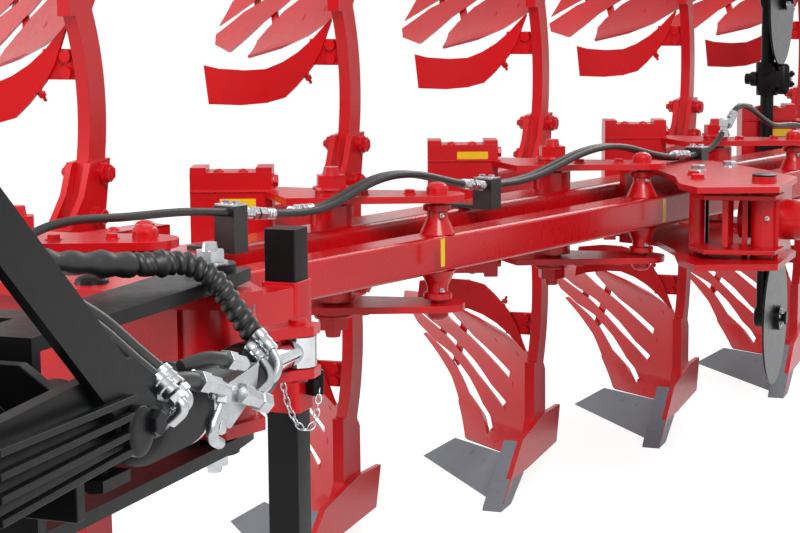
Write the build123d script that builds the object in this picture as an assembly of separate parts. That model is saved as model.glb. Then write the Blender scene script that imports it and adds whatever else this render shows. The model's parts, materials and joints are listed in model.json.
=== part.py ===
from build123d import *
from math import atan2, cos, degrees, hypot, radians, sin
import os

# Five-furrow mounted reversible plough, millimetres. X points to the unploughed land,
# Y to the rear, Z up. Working origin: floor below the middle carrier's main pivot.
# Everything is moved at the end so that the overall box stands centred on the origin.

# Driving sizes
body_count = 5
body_spacing = 900.0
beam_angle = 15.5
axis_height = 870.0
swing_angle = 16.0

# Two long tubes and the levers between them
beam_width = 120.0
beam_wall = 10.0
beam_corner = 14.0
beam_front = 2050.0
beam_tail = 150.0
bar_width = 80.0
bar_wall = 8.0
bar_corner = 10.0
bar_front = 170.0
bar_tail = 120.0
lever_length = 230.0
lever_angle = 21.2
plate_thick = 15.0
plate_gap = 112.0
side_gap = 7.0
main_pin_radius = 25.0
bar_pin_radius = 15.0
running_fit = 0.05
boss_wall = 22.0
neck_wall = 8.0

# Leg, its cheeks and the arm that carries them
leg_thick = 30.0
leg_depth = 70.0
leg_radius = 505.0
leg_plane = -235.0
leg_centre_y = 169.0
leg_centre_z = 310.0
leg_root = 60.0
leg_end = 541.0
cheek_thick = 15.0
arm_height = 75.0
leg_bolt_radius = 12.0
bolt_clearance = 0.5
leg_bolt_heights = (90.0, 180.0)

# Front end
swing_pivot = (56.0, -2032.0)
swing_pin_radius = 40.0
shaft_radius = 55.0
shaft_rear = -2480.0
housing_rear = -2640.0
housing_front = -2990.0
crank_radius = 110.0
fork_low = 117.0
fork_thick = 20.0

# Share, point and mouldboard, from the share point: X, Y across and along
point_offset = (-257.6, 307.5)
share_length = 583.7
share_yaw = 40.6
share_slope = 42.7
share_thick = 12.0
board_thick = 10.0
point_width = 55.0
point_centre = 23.5
frog_gap = 7.6

# Stand, wheel and disc coulters
stand_place = (-27.0, -1571.0)
stand_width = 60.0
sleeve_wall = 5.0
sleeve_fit = 0.2
wheel_radius = 380.0
wheel_width = 200.0
wheel_place = (900.0, 300.0)
hinge_place = (0.0, 30.0)
disc_radius = 225.0
disc_thick = 6.0

across = Vector(cos(radians(beam_angle)), -sin(radians(beam_angle)))
along = Vector(sin(radians(beam_angle)), cos(radians(beam_angle)))
lever = Vector(cos(radians(lever_angle)), sin(radians(lever_angle))) * lever_length
bodies = range(body_count)
plate_top = plate_gap + plate_thick
boss_height = plate_gap - side_gap


def main_pivot(index):
    return along * ((index - (body_count - 1) / 2) * body_spacing)


def bar_pivot(index):
    return main_pivot(index) + lever


def leg_reach(height, offset=0.0):
    """Y of the leg's centre line, from the main pivot, at a height above or below the axis."""
    return (leg_radius ** 2 - (leg_centre_z - abs(height)) ** 2) ** 0.5 + leg_centre_y + offset


def slab_z(points, low, high):
    """Flat outline in plan, from one height to another."""
    face = make_face(Polyline(*points, close=True))
    return Pos(0, 0, low) * extrude(face, high - low, dir=(0, 0, 1))


def slab_x(points, low, high):
    """Side outline of Y and Z, from one X to another."""
    face = Plane.YZ.offset(low) * make_face(Polyline(*points, close=True))
    return extrude(face, high - low, dir=(1, 0, 0))


def slab_y(points, low, high):
    """Front outline of X and Z, from one Y to another."""
    solid = make_face(Polyline(*[(x, 0, z) for x, z in points], close=True))
    return Pos(0, low, 0) * extrude(solid, high - low, dir=(0, 1, 0))


def rod(start, direction, radius, length):
    """Round bar from a start point along a direction."""
    place = Plane(origin=start, z_dir=direction)
    return place * Cylinder(radius, length, align=(Align.CENTER, Align.CENTER, Align.MIN))


def post(x, y, radius, low, high):
    """Upright round bar."""
    return rod((x, y, low), (0, 0, 1), radius, high - low)


def square_tube(start, direction, side, length, corner, wall=0.0):
    """Square tube or bar lying level along a direction, its centre line from start."""
    flat = Vector(direction.Y, -direction.X, 0)
    section = RectangleRounded(side, side, corner)
    if wall:
        section -= RectangleRounded(side - 2 * wall, side - 2 * wall, max(corner - wall, 1))
    place = Plane(origin=start, x_dir=flat, z_dir=direction)
    return place * extrude(section, length, dir=(0, 0, 1))


def whole(shapes):
    """Fuse a list of shapes into one."""
    first = shapes[0]
    return first.fuse(*shapes[1:]) if len(shapes) > 1 else first


def flip(shape):
    """Mirror image about the turnover axis level, for the upper row of bodies."""
    return mirror(shape, about=Plane.XY.offset(axis_height))


nodes = {}


def add(name, *shapes):
    """Keep the solids of one named piece."""
    solids = []
    for shape in shapes:
        solids.extend(shape.solids())
    nodes[name] = Compound(solids) if len(solids) > 1 else solids[0]


# Main beam: square tube with a bushed upright boss at each carrier
beam_start = main_pivot(0) - along * (beam_front - (body_count - 1) / 2 * body_spacing)
beam_length = beam_front + (body_count - 1) / 2 * body_spacing + beam_tail
boss_radius = main_pin_radius + boss_wall
beam = square_tube(Vector(beam_start.X, beam_start.Y, axis_height), along, beam_width,
                   beam_length, beam_corner, beam_wall)
beam_bosses = []
beam_bores = []
for index in bodies:
    place = main_pivot(index)
    beam_bosses.append(post(place.X, place.Y, boss_radius,
                            axis_height - boss_height, axis_height + boss_height))
    beam_bores.append(post(place.X, place.Y, main_pin_radius + running_fit,
                           axis_height - 150, axis_height + 150))
beam = whole([beam] + beam_bosses).cut(*beam_bores)

# Front arm: two plates with webs between them, from the beam's front end to the swing pivot
arm_outer = 110.0
arm_plate = 20.0
arm_web = 15.0
swing_x, swing_y = swing_pivot
lug_place = (156.0, -1930.0)
beam_end = beam_start
heel = beam_start + along * 180


def beam_point(base, side):
    """Plan point beside the beam's centre line."""
    place = base + across * side
    return (place.X, place.Y)


arm_plan = [
    beam_point(heel, -beam_width / 2 - arm_web),
    beam_point(beam_end, -beam_width / 2 - arm_web),
    (beam_end.X - 30, beam_end.Y - 80),
    (swing_x - 20, swing_y - 95),
    (swing_x + 60, swing_y - 75),
    (swing_x + 85, swing_y + 10),
    (swing_x + 20, swing_y + 90),
    (swing_x - 150, swing_y + 75),
    beam_point(heel, beam_width / 2 + arm_web),
]
front_web = [
    (beam_end.X - 20, beam_end.Y - 60),
    (swing_x - 20, swing_y - 75),
    (swing_x - 20, swing_y - 60),
    (beam_end.X - 20, beam_end.Y - 45),
]
rear_web = [
    (beam_end.X + 100, beam_end.Y + 52),
    (swing_x - 20, swing_y + 57),
    (swing_x - 20, swing_y + 72),
    (beam_end.X + 100, beam_end.Y + 67),
]
arm_inner = arm_outer - arm_plate
arm_pieces = [
    slab_z(arm_plan, axis_height + arm_inner, axis_height + arm_outer),
    slab_z(arm_plan, axis_height - arm_outer, axis_height - arm_inner),
    slab_z(front_web, axis_height - arm_inner, axis_height + arm_inner),
    slab_z(rear_web, axis_height - arm_inner, axis_height + arm_inner),
    post(swing_x, swing_y, swing_pin_radius + 30, axis_height - arm_outer, axis_height + arm_outer),
]
for side in (-1, 1):
    rib = [
        beam_point(beam_end, side * beam_width / 2),
        beam_point(heel, side * beam_width / 2),
        beam_point(heel, side * (beam_width / 2 + arm_web)),
        beam_point(beam_end, side * (beam_width / 2 + arm_web)),
    ]
    arm_pieces.append(slab_z(rib, axis_height - arm_inner, axis_height + arm_inner))
end_plate = [
    beam_point(beam_end, -beam_width / 2 - arm_web),
    beam_point(beam_end, beam_width / 2 + arm_web),
    beam_point(beam_end - along * arm_web, beam_width / 2 + arm_web),
    beam_point(beam_end - along * arm_web, -beam_width / 2 - arm_web),
]
arm_pieces.append(slab_z(end_plate, axis_height - arm_inner, axis_height + arm_inner))

# Lug that the swing cylinder's rod pulls, between the plates on the land side
rod_pin_radius = 15.0
eye_clearance = 2.0
eye_half = 24.0
lug_half = 42.0
lug_plan = [
    (swing_x + 40, swing_y + 30),
    (swing_x + 60, swing_y - 10),
    (lug_place[0] + 32, lug_place[1] - 10),
    (lug_place[0] + 28, lug_place[1] + 26),
    (lug_place[0] - 10, lug_place[1] + 34),
]
for low, high in ((-lug_half, -lug_half + 16), (lug_half - 16, lug_half)):
    arm_pieces.append(slab_z(lug_plan, axis_height + low, axis_height + high))
arm_pieces.append(post(*lug_place, rod_pin_radius, axis_height - lug_half - 8, axis_height + lug_half + 8))
front_arm = whole(arm_pieces).cut(
    post(swing_x, swing_y, swing_pin_radius + running_fit, axis_height - 150, axis_height + 150))
front_arm = front_arm.cut(
    post(*lug_place, 45, axis_height - lug_half + 16, axis_height + lug_half - 16)
    - post(*lug_place, rod_pin_radius, axis_height - lug_half, axis_height + lug_half))
beam = beam.fuse(front_arm)
add("main_beam", beam)

# Parking stand: sleeve on a short arm, and the square leg that slides in it
stand_x, stand_y = stand_place
sleeve_side = stand_width + 2 * (sleeve_wall + sleeve_fit)
sleeve_low, sleeve_high = -185.0, 52.0
sleeve = Pos(stand_x, stand_y, axis_height + sleeve_low) * extrude(
    RectangleRounded(sleeve_side, sleeve_side, 8)
    - RectangleRounded(stand_width + 2 * sleeve_fit, stand_width + 2 * sleeve_fit, 4),
    sleeve_high - sleeve_low)
sleeve_arm = slab_z([
    (stand_x - 95, swing_y + 80),
    (stand_x - 35, swing_y + 74),
    (stand_x + 30, stand_y - sleeve_side / 2),
    (stand_x - 25, stand_y - sleeve_side / 2),
], axis_height - 45, axis_height + 45)
pin_height = axis_height - 100
add("stand_sleeve", (sleeve + sleeve_arm) - beam)
stand_leg = Pos(stand_x, stand_y, 12) * extrude(RectangleRounded(stand_width, stand_width, 4), 1004)
foot = Pos(stand_x, stand_y, 0) * extrude(RectangleRounded(160, 160, 20), 12)
add("stand_leg", stand_leg.fuse(foot))

# Control bar: square tube with a flared, bushed neck at each carrier
neck_radius = bar_pin_radius + neck_wall
bar_start = bar_pivot(0) - along * bar_front
bar_length = (body_count - 1) * body_spacing + bar_front + bar_tail
bar = square_tube(Vector(bar_start.X, bar_start.Y, axis_height), along, bar_width,
                  bar_length, bar_corner, bar_wall)
necks = []
neck_bores = []
for index in bodies:
    place = bar_pivot(index)
    necks.append(post(place.X, place.Y, neck_radius, axis_height - boss_height, axis_height + boss_height))
    for side in (-1, 1):
        flare = Cone(bar_width / 2, neck_radius, 36, align=(Align.CENTER, Align.CENTER, Align.MIN))
        base = Plane(origin=(place.X, place.Y, axis_height + side * bar_width / 2), z_dir=(0, 0, side))
        necks.append(base * flare)
    neck_bores.append(post(place.X, place.Y, bar_pin_radius + running_fit,
                           axis_height - 150, axis_height + 150))
bar = whole([bar] + necks).cut(*neck_bores)
add("control_bar", bar)


# Carrier: two plates pivoting on both tubes, a box at the furrow side, and an arm to the leg
box_inner, box_outer = 134.0, 316.0
box_front, box_rear = 76.0, 170.0
box_half = 168.0
lever_plane = Plane(origin=(0, 0, 0), x_dir=(lever.X, lever.Y, 0), z_dir=(0, 0, 1))
carrier_plan = [
    (-box_outer, box_rear),
    (-box_outer, box_front),
    (-box_inner - 16, box_front),
    (-95, -75),
    (lever_length, -60),
    (lever_length, 60),
    (80, 90),
    (-box_inner, box_rear),
]
cheek_upper = [(leg_reach(z, offset), z) for z, offset in
               ((82, -90), (137, -63), (205, -52), (210, 31), (80, 49))]
cheek_side = cheek_upper + [(y, -z) for y, z in reversed(cheek_upper)]


def carrier_shape():
    """One carrier about its main pivot, level zero at the turnover axis."""
    pieces = []
    for low, high in ((plate_gap, plate_top), (-plate_top, -plate_gap)):
        plate = make_face(Polyline(*carrier_plan, close=True))
        plate += Pos(lever_length, 0) * Circle(60)
        pieces.append(Pos(0, 0, low) * (lever_plane * extrude(plate, high - low, dir=(0, 0, 1))))
    box = Box(box_outer - box_inner, box_rear - box_front, 2 * box_half)
    box_place = Pos(-(box_outer + box_inner) / 2, (box_rear + box_front) / 2, 0)
    pieces.append(lever_plane * (box_place * box))
    left = leg_plane - leg_thick / 2 - cheek_thick
    right = leg_plane + leg_thick / 2 + cheek_thick
    arm_front, arm_rear = 60.0, leg_reach(82, -72)
    arm_side = [(arm_front, -arm_height), (arm_rear, -arm_height), (arm_rear, arm_height), (arm_front, arm_height)]
    core = [(arm_front, -arm_height + cheek_thick), (arm_rear, -arm_height + cheek_thick),
            (arm_rear, arm_height - cheek_thick), (arm_front, arm_height - cheek_thick)]
    arm = slab_x(arm_side, left, right) - slab_x(core, left + cheek_thick, right - cheek_thick)
    pieces.append(arm)
    pieces.append(slab_x(cheek_side, left, left + cheek_thick))
    pieces.append(slab_x(cheek_side, right - cheek_thick, right))
    pieces.append(post(0, 0, main_pin_radius, -plate_top - 15, plate_top + 15))
    pieces.append(post(lever.X, lever.Y, bar_pin_radius, -plate_top - 18, plate_top + 18))
    for side in (-1, 1):
        low = min(side * plate_top, side * (plate_top + 14))
        pieces.append(post(0, 0, 36, low, low + 14))
        pieces.append(post(lever.X, lever.Y, 24, low, low + 14))
    for height in leg_bolt_heights:
        reach = leg_reach(height)
        for z in (-height, height):
            pieces.append(rod((left, reach, z), (1, 0, 0), leg_bolt_radius, right - left))
            pieces.append(rod((left - 13, reach, z), (1, 0, 0), 20, 13))
            pieces.append(rod((right, reach, z), (1, 0, 0), 20, 13))
    return whole(pieces)


carrier = carrier_shape()
for index in bodies:
    place = main_pivot(index)
    add(f"carrier_{index + 1}", Pos(place.X, place.Y, axis_height) * carrier)


# Plough bottom, about the share point: leg with frog and landside, share with point, mouldboard
leg_x = leg_plane - point_offset[0]
leg_y = leg_centre_y - point_offset[1]
leg_z = axis_height - leg_centre_z


def arc_band(centre_y, centre_z, inner, outer, start, end):
    """Side outline between two arcs, from one angle to another, as a face in the YZ plane."""
    def at(radius, angle):
        return (centre_y + radius * cos(angle), centre_z + radius * sin(angle))
    middle = (start + end) / 2
    edges = [
        ThreePointArc(at(outer, start), at(outer, middle), at(outer, end)),
        Line(at(outer, end), at(inner, end)),
        ThreePointArc(at(inner, end), at(inner, middle), at(inner, start)),
        Line(at(inner, start), at(outer, start)),
    ]
    return make_face(edges)


def leg_shape():
    """Curved leg, frog plate below it and landside along the furrow wall."""
    start = atan2(leg_centre_z - leg_root, (leg_radius ** 2 - (leg_centre_z - leg_root) ** 2) ** 0.5)
    drop = leg_end - leg_centre_z
    end = -atan2(drop, (leg_radius ** 2 - drop ** 2) ** 0.5)
    band = arc_band(leg_y, leg_z, leg_radius - leg_depth / 2, leg_radius + leg_depth / 2, start, end)
    face = Plane.YZ.offset(leg_x - leg_thick / 2) * band
    leg = extrude(face, leg_thick, dir=(1, 0, 0))
    frog = slab_x([(81, 86), (150, 78), (375, 78), (376, 184), (374, 316), (345, 355), (262, 355), (262, 190),
                   (228, 140), (150, 100)],
                  leg_x - leg_thick / 2, leg_x + leg_thick / 2)
    landside = slab_x([(-76, 18), (26, 69), (149, 67), (446, 80), (481, 188), (327, 194), (106, 163)],
                      leg_x + leg_thick / 2, leg_x + leg_thick / 2 + 15)
    holes = []
    for height in leg_bolt_heights:
        reach = leg_reach(height, -point_offset[1])
        holes.append(rod((leg_x - leg_thick, reach, axis_height - height), (1, 0, 0),
                         leg_bolt_radius + bolt_clearance, 2 * leg_thick))
    return whole([leg, frog, landside]).cut(*holes)


def share_shape():
    """Share blade with its reversible point, both ending on the floor."""
    yaw = radians(share_yaw)
    slope = radians(share_slope)
    edge = Vector(-sin(yaw), cos(yaw), 0)
    rise = Vector(cos(yaw) * cos(slope), sin(yaw) * cos(slope), sin(slope))
    under = Plane(origin=(0, 0, 0), x_dir=edge, z_dir=edge.cross(rise))
    blade = make_face(Polyline((0, 0), (share_length, 0), (500, 103), (123, 143.5), close=True))
    blade = under * extrude(blade, share_thick, dir=(0, 0, 1))
    tip = slab_x([(-92, 0), (-84, 14), (104, 158), (118, 140), (118, 62), (0, 0)],
                 point_centre - point_width / 2, point_centre + point_width / 2)
    floor = Box(2000, 2000, 200, align=(Align.CENTER, Align.CENTER, Align.MAX))
    return blade.fuse(tip).cut(floor)


board_sections = [
    # x, then (y, z) of the toe, foot, belly and crest of the section
    (frog_gap, (153, 98), (292, 132), (360, 268), (294, 400)),
    (-310, (522, 64), (651, 132), (671, 280), (500, 470)),
    (-640, (905, 30), (1030, 140), (975, 310), (755, 530)),
]
board_outline = [
    # x, z: shin edge, lower edge, then each slat's end with the slot above it
    (-11, 371), (3, 329), (frog_gap + 1, 270), (frog_gap + 1, 92), (0, 97), (-230, 66), (-345, 125),
    (-400, 190), (-470, 245), (-545, 300),
    (-527, 307), (-424, 259), (-370, 226), (-300, 162), (-150, 99),
    (-139, 113), (-225, 152), (-301, 210), (-395, 266), (-484, 292), (-562, 334),
    (-600, 403), (-494, 356), (-421, 326), (-348, 284), (-262, 232), (-123, 165),
    (-116, 186), (-192, 217), (-270, 269), (-328, 300), (-385, 329), (-483, 362), (-600, 427),
    (-578, 455), (-476, 472), (-365, 390), (-276, 346), (-199, 304), (-109, 258),
    (-104, 281), (-180, 320), (-264, 358), (-327, 406), (-352, 436),
    (-335, 485), (-200, 455), (-100, 420),
]


def section_face(x, toe, foot, belly, crest):
    """Thin closed section of the board: a flat toe and one arc, then the same behind it."""
    back_toe = (toe[0] + 4, toe[1] - board_thick)
    back_foot = (foot[0] + 5, foot[1] - board_thick + 1)
    back_belly = (belly[0] + board_thick, belly[1])
    back_crest = (crest[0] + board_thick * 0.7, crest[1] + board_thick * 0.7)
    edges = [
        Line(toe, foot),
        ThreePointArc(foot, belly, crest),
        Line(crest, back_crest),
        ThreePointArc(back_crest, back_belly, back_foot),
        Line(back_foot, back_toe),
        Line(back_toe, toe),
    ]
    return Plane.YZ.offset(x) * make_face(edges)


def board_shape():
    """Slatted mouldboard: lofted twisted plate trimmed to its outline."""
    board = loft([section_face(*row) for row in board_sections])
    return board & slab_y(board_outline, -200, 1400)


trash_outline = [
    # x, z: inner edge from the far end to the shin, then the outer edge back
    (-315, 489), (-286, 498), (-229, 503), (-177, 500), (-135, 482), (-96, 457), (-60, 426), (-28, 392),
    (-11, 375), (-9, 379), (-19, 405), (-38, 457), (-61, 495), (-102, 543), (-133, 573), (-179, 586),
    (-235, 591), (-306, 587),
]
trash_thick = 9.0


def trash_shape():
    """Horn-shaped trash board on an upright curved sheet, held to the leg by a two-bolt strap."""
    front = [(frog_gap, 322), (-150, 300), (-320, 215)]
    back = [(x, y + trash_thick) for x, y in front]
    face = make_face([ThreePointArc(*front), Line(front[2], back[2]),
                      ThreePointArc(*reversed(back)), Line(back[0], front[0])])
    horn = Pos(0, 0, 350) * extrude(face, 260, dir=(0, 0, 1)) & slab_y(trash_outline, 100, 400)
    strap = slab_z([(-70, 326), (frog_gap, 329), (frog_gap, 345), (-70, 340)], 425, 490)
    pieces = [horn, strap]
    for z in (440, 475):
        pieces.append(rod((-12, 318, z), (0, 1, 0), 13, 24))
    return whole(pieces)


leg = leg_shape()
share = share_shape()
leg = leg.cut(share)
board = board_shape() - share
trash = trash_shape() - board
for index in bodies:
    place = main_pivot(index) + Vector(*point_offset)
    spot = Pos(place.X, place.Y, 0)
    for name, shape in (("legs", leg), ("shares", share)):
        low = spot * shape
        add(f"{name}_{index + 1}", low, flip(low))
    low = spot * board
    guard = spot * trash
    add(f"mouldboards_{index + 1}", low, guard, flip(low), flip(guard))

# Turnover frame: shaft, flange, two fork bars to the swing pivot and the cylinder's clevis
clevis_place = (156.0, -2560.0)
flange_rear = housing_rear + 38
fork_high = fork_low + fork_thick
fork_plan = [
    (swing_x - 50, flange_rear - 20), (swing_x + 50, flange_rear - 20), (swing_x + 55, swing_y - 30),
    (swing_x + 45, swing_y + 50), (swing_x - 45, swing_y + 50), (swing_x - 55, swing_y - 30),
]
link_reach = lever * -0.5
link_place = (swing_x + link_reach.X, swing_y + link_reach.Y)
link_radius = 36.0
link_low, link_high = -165.0, -145.0
lobe_plan = [
    (link_place[0] + 12, link_place[1] - link_radius), (swing_x, swing_y - 60), (swing_x, swing_y + 50),
    (link_place[0] - 12, link_place[1] + link_radius),
]
turn_pieces = [
    rod((swing_x, housing_front - 15, axis_height), (0, 1, 0), shaft_radius, shaft_rear - housing_front + 15),
    rod((swing_x, flange_rear - 20, axis_height), (0, 1, 0), shaft_radius + 45, 20),
    slab_y([(swing_x - 50, axis_height - fork_high), (swing_x + 50, axis_height - fork_high),
            (swing_x + 50, axis_height + fork_high), (swing_x - 50, axis_height + fork_high)],
           flange_rear - 20, flange_rear),
    slab_z(fork_plan, axis_height + fork_low, axis_height + fork_high),
    slab_z(fork_plan, axis_height - fork_high, axis_height - fork_low),
    slab_z(lobe_plan, axis_height - fork_high, axis_height - fork_low),
    post(*link_place, link_radius, axis_height - fork_high, axis_height - fork_low),
    post(*link_place, bar_pin_radius, axis_height + link_low - 12, axis_height - fork_low),
    post(swing_x, swing_y, swing_pin_radius, axis_height - fork_high - 12, axis_height + fork_high + 12),
]
clevis_half = 62.0
for low, high in ((-clevis_half, -clevis_half + 16), (clevis_half - 16, clevis_half)):
    turn_pieces.append(slab_z([
        (swing_x, clevis_place[1] - 35), (clevis_place[0] + 30, clevis_place[1] - 35),
        (clevis_place[0] + 30, clevis_place[1] + 35), (swing_x, clevis_place[1] + 35),
    ], axis_height + low, axis_height + high))
turn_pieces.append(post(*clevis_place, rod_pin_radius, axis_height - clevis_half - 8,
                        axis_height + clevis_half + 8))
crank_rear = housing_front - 15
turn_pieces.append(slab_y([(swing_x - 55, axis_height - 30), (swing_x + crank_radius + 30, axis_height - 26),
                           (swing_x + crank_radius + 30, axis_height + 26), (swing_x - 55, axis_height + 30)],
                          crank_rear - 20, crank_rear))
turn_pieces.append(rod((swing_x + crank_radius, crank_rear - 26, axis_height), (0, 1, 0), 16, 10))
turn_pieces.append(slab_z([(swing_x - 45, -2430), (swing_x - 45, -2505), (-98, -2505), (-98, -2455)],
                          axis_height + fork_low, axis_height + fork_high))
turn_pieces.append(slab_y([(-98, axis_height + fork_low), (-52, axis_height + fork_low),
                           (-52, axis_height + 230), (-98, axis_height + 230)], -2492, -2480))
add("turnover_frame", whole(turn_pieces))

# Steering link from the turnover frame to the first carrier, parallel to swing pivot and main pivot
link_end = main_pivot(0) + link_reach
run = Vector(link_end.X - link_place[0], link_end.Y - link_place[1])
side = Vector(run.Y, -run.X).normalized() * 22
link_bar = slab_z([
    (link_place[0] + side.X, link_place[1] + side.Y), (link_place[0] - side.X, link_place[1] - side.Y),
    (link_end.X - side.X, link_end.Y - side.Y), (link_end.X + side.X, link_end.Y + side.Y),
], axis_height + link_low, axis_height + link_high)
link_pieces = [link_bar]
link_bores = []
for x, y in (link_place, (link_end.X, link_end.Y)):
    link_pieces.append(post(x, y, link_radius - 4, axis_height + link_low, axis_height + link_high))
    link_bores.append(post(x, y, bar_pin_radius + running_fit, axis_height - 200, axis_height - 100))
add("steering_link", whole(link_pieces).cut(*link_bores))
nodes["carrier_1"] = nodes["carrier_1"].fuse(
    post(link_end.X, link_end.Y, bar_pin_radius, axis_height + link_low - 12, axis_height - plate_gap)).solids()[0]

# Swing cylinder between the clevis and the front arm's lug: barrel, boot and rod
cylinder_run = lug_place[1] - clevis_place[1]
barrel_radius = 36.0
bore_radius = 20.0
barrel_end = clevis_place[1] + 330
eye_radius = 30.0
barrel = whole([
    post(*clevis_place, eye_radius, axis_height - 28, axis_height + 28),
    rod((clevis_place[0], clevis_place[1] + 20, axis_height), (0, 1, 0), barrel_radius, 310),
]).cut(
    post(*clevis_place, rod_pin_radius + running_fit, axis_height - 100, axis_height + 100),
    rod((clevis_place[0], clevis_place[1] + 60, axis_height), (0, 1, 0), bore_radius + running_fit, 400))
add("swing_barrel", barrel)
rod_start = clevis_place[1] + 110
swing_rod = whole([
    rod((lug_place[0], rod_start, axis_height), (0, 1, 0), bore_radius, lug_place[1] - rod_start - 20),
    post(*lug_place, eye_radius, axis_height - eye_half, axis_height + eye_half),
]).cut(post(*lug_place, rod_pin_radius + eye_clearance, axis_height - 100, axis_height + 100))
add("swing_rod", swing_rod)

# Wheel bracket: two plates over and under the control bar, a web on the beam and the axle tube
wheel_x, wheel_y = wheel_place
hinge_y = hinge_place[1]
bracket_outer = 100.0
tube_radius = 50.0
tube_start, tube_end = 480.0, 700.0
arm_tube_end = 790.0
hinge_pin_radius = 30.0


def beam_plan(run_along, run_across):
    """Plan point from distances along and across the beam from the middle pivot."""
    place = along * run_along + across * run_across
    return (place.X, place.Y)


bracket_plan = [
    beam_plan(240, beam_width / 2), beam_plan(545, beam_width / 2), (317, 469), (505, 245), (607, 90),
    (607, -165), (426, -235), (365, -155), (317, 10), (235, 168),
]
bracket_pieces = [
    slab_z(bracket_plan, axis_height + bracket_outer - plate_thick, axis_height + bracket_outer),
    slab_z(bracket_plan, axis_height - bracket_outer, axis_height - bracket_outer + plate_thick),
    slab_z([beam_plan(240, beam_width / 2), beam_plan(545, beam_width / 2),
            beam_plan(545, beam_width / 2 + 15), beam_plan(240, beam_width / 2 + 15)],
           axis_height - bracket_outer, axis_height + bracket_outer),
    post(385, -40, 20, axis_height - bracket_outer, axis_height + bracket_outer),
    post(552, -60, 30, axis_height - bracket_outer - 14, axis_height + bracket_outer + 14),
    rod((tube_start, hinge_y, axis_height), (1, 0, 0), tube_radius, tube_end - tube_start),
    rod((tube_end - 12, hinge_y, axis_height), (1, 0, 0), tube_radius + 15, 12),
    rod((tube_start, hinge_y, axis_height), (1, 0, 0), hinge_pin_radius, arm_tube_end + 20 - tube_start),
]
for x in (500, 575):
    bracket_pieces.append(slab_x([(hinge_y - 90, axis_height - 86), (hinge_y + 90, axis_height - 86),
                                  (hinge_y + 90, axis_height + 86), (hinge_y - 90, axis_height + 86)],
                                 x, x + 14))
add("wheel_bracket", whole(bracket_pieces))

# Wheel arm: hub on the bracket's pin, bent arm and stub axle; then rim and tyre
arm_low, arm_high = tube_end + 8, arm_tube_end
stub_radius = 25.0
hub_half = 70.0
arm_run = Vector(0, wheel_y - hinge_y, wheel_radius - axis_height)
arm_unit = arm_run.normalized()
arm_side = Vector(0, -arm_unit.Z, arm_unit.Y) * 40
corners = [Vector(0, hinge_y, axis_height) + arm_side, Vector(0, wheel_y, wheel_radius) + arm_side,
           Vector(0, wheel_y, wheel_radius) - arm_side, Vector(0, hinge_y, axis_height) - arm_side]
wheel_arm = whole([
    rod((arm_low, hinge_y, axis_height), (1, 0, 0), 60, arm_high - arm_low),
    slab_x([(place.Y, place.Z) for place in corners], arm_low + 16, arm_high - 26),
    rod((arm_low + 16, wheel_y, wheel_radius), (1, 0, 0), 40, arm_high - 26 - arm_low - 16),
    rod((arm_low + 16, wheel_y, wheel_radius), (1, 0, 0), stub_radius, wheel_x + hub_half + 10 - arm_low - 16),
]).cut(rod((arm_low - 20, hinge_y, axis_height), (1, 0, 0), hinge_pin_radius + running_fit, 200))
cap_keeper = rod((arm_high + 6, hinge_y, axis_height), (1, 0, 0), hinge_pin_radius + 14, 14)
nodes["wheel_bracket"] = nodes["wheel_bracket"].fuse(cap_keeper).solids()[0]
add("wheel_arm", wheel_arm)

rim_radius = 200.0
rim_section = [(rim_radius - 14, -80), (rim_radius + 8, -80), (rim_radius + 8, -68), (rim_radius, -60),
               (rim_radius, 60), (rim_radius + 8, 68), (rim_radius + 8, 80), (rim_radius - 14, 80),
               (rim_radius - 14, 20), (60, 8), (60, hub_half), (stub_radius + running_fit, hub_half),
               (stub_radius + running_fit, -hub_half + 10), (60, -hub_half + 10), (60, -8), (rim_radius - 14, 4)]
tyre_section = [(rim_radius, -60), (rim_radius + 60, -100), (wheel_radius - 40, -100), (wheel_radius - 8, -84),
                (wheel_radius, -50), (wheel_radius, 50), (wheel_radius - 8, 84), (wheel_radius - 40, 100),
                (rim_radius + 60, 100), (rim_radius, 60)]


def turned(section, x, y, z):
    """Ring turned about an axle along X from radius and side offsets."""
    face = Plane.XY * make_face(Polyline(*[(side_step, radius) for radius, side_step in section], close=True))
    return Pos(x, y, z) * revolve(face, axis=Axis.X)


add("wheel_rim", turned(rim_section, wheel_x, wheel_y, wheel_radius))
tyre = turned(tyre_section, wheel_x, wheel_y, wheel_radius)
add("wheel_tyre", tyre.cut(nodes["wheel_rim"]))

# Disc coulters on the last carrier: one upright through a clamp, a disc at each end
last = main_pivot(body_count - 1)
disc_x, disc_y = last.X - 197, last.Y - 46
disc_drop = 535.0
stem_x = last.X - 240
stem_radius = 22.0
disc_pin_radius = 14.0
clamp_front = 22.0
clamp = Pos(last.X, last.Y, axis_height) * (lever_plane * (
    Pos(-210 - 22, (box_front + clamp_front - 20) / 2, 0) * Box(76, box_front - clamp_front + 20, 110)))
coulter_pieces = [post(stem_x, disc_y, stem_radius, axis_height - disc_drop - 30, axis_height + disc_drop + 30), clamp]
for side in (-1, 1):
    level = axis_height + side * disc_drop
    coulter_pieces.append(rod((stem_x, disc_y, level), (1, 0, 0), disc_pin_radius, disc_x + 40 - stem_x))
    coulter_pieces.append(rod((disc_x + 32, disc_y, level), (1, 0, 0), disc_pin_radius + 8, 8))
    hub = rod((disc_x - 14, disc_y, level), (1, 0, 0), 42, 34)
    disc = rod((disc_x - disc_thick / 2, disc_y, level), (1, 0, 0), disc_radius, disc_thick)
    bore = rod((disc_x - 50, disc_y, level), (1, 0, 0), disc_pin_radius + running_fit, 100)
    add("coulter_disc_lower" if side < 0 else "coulter_disc_upper", hub.fuse(disc).cut(bore))
add("coulter_stem", whole(coulter_pieces))

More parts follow.
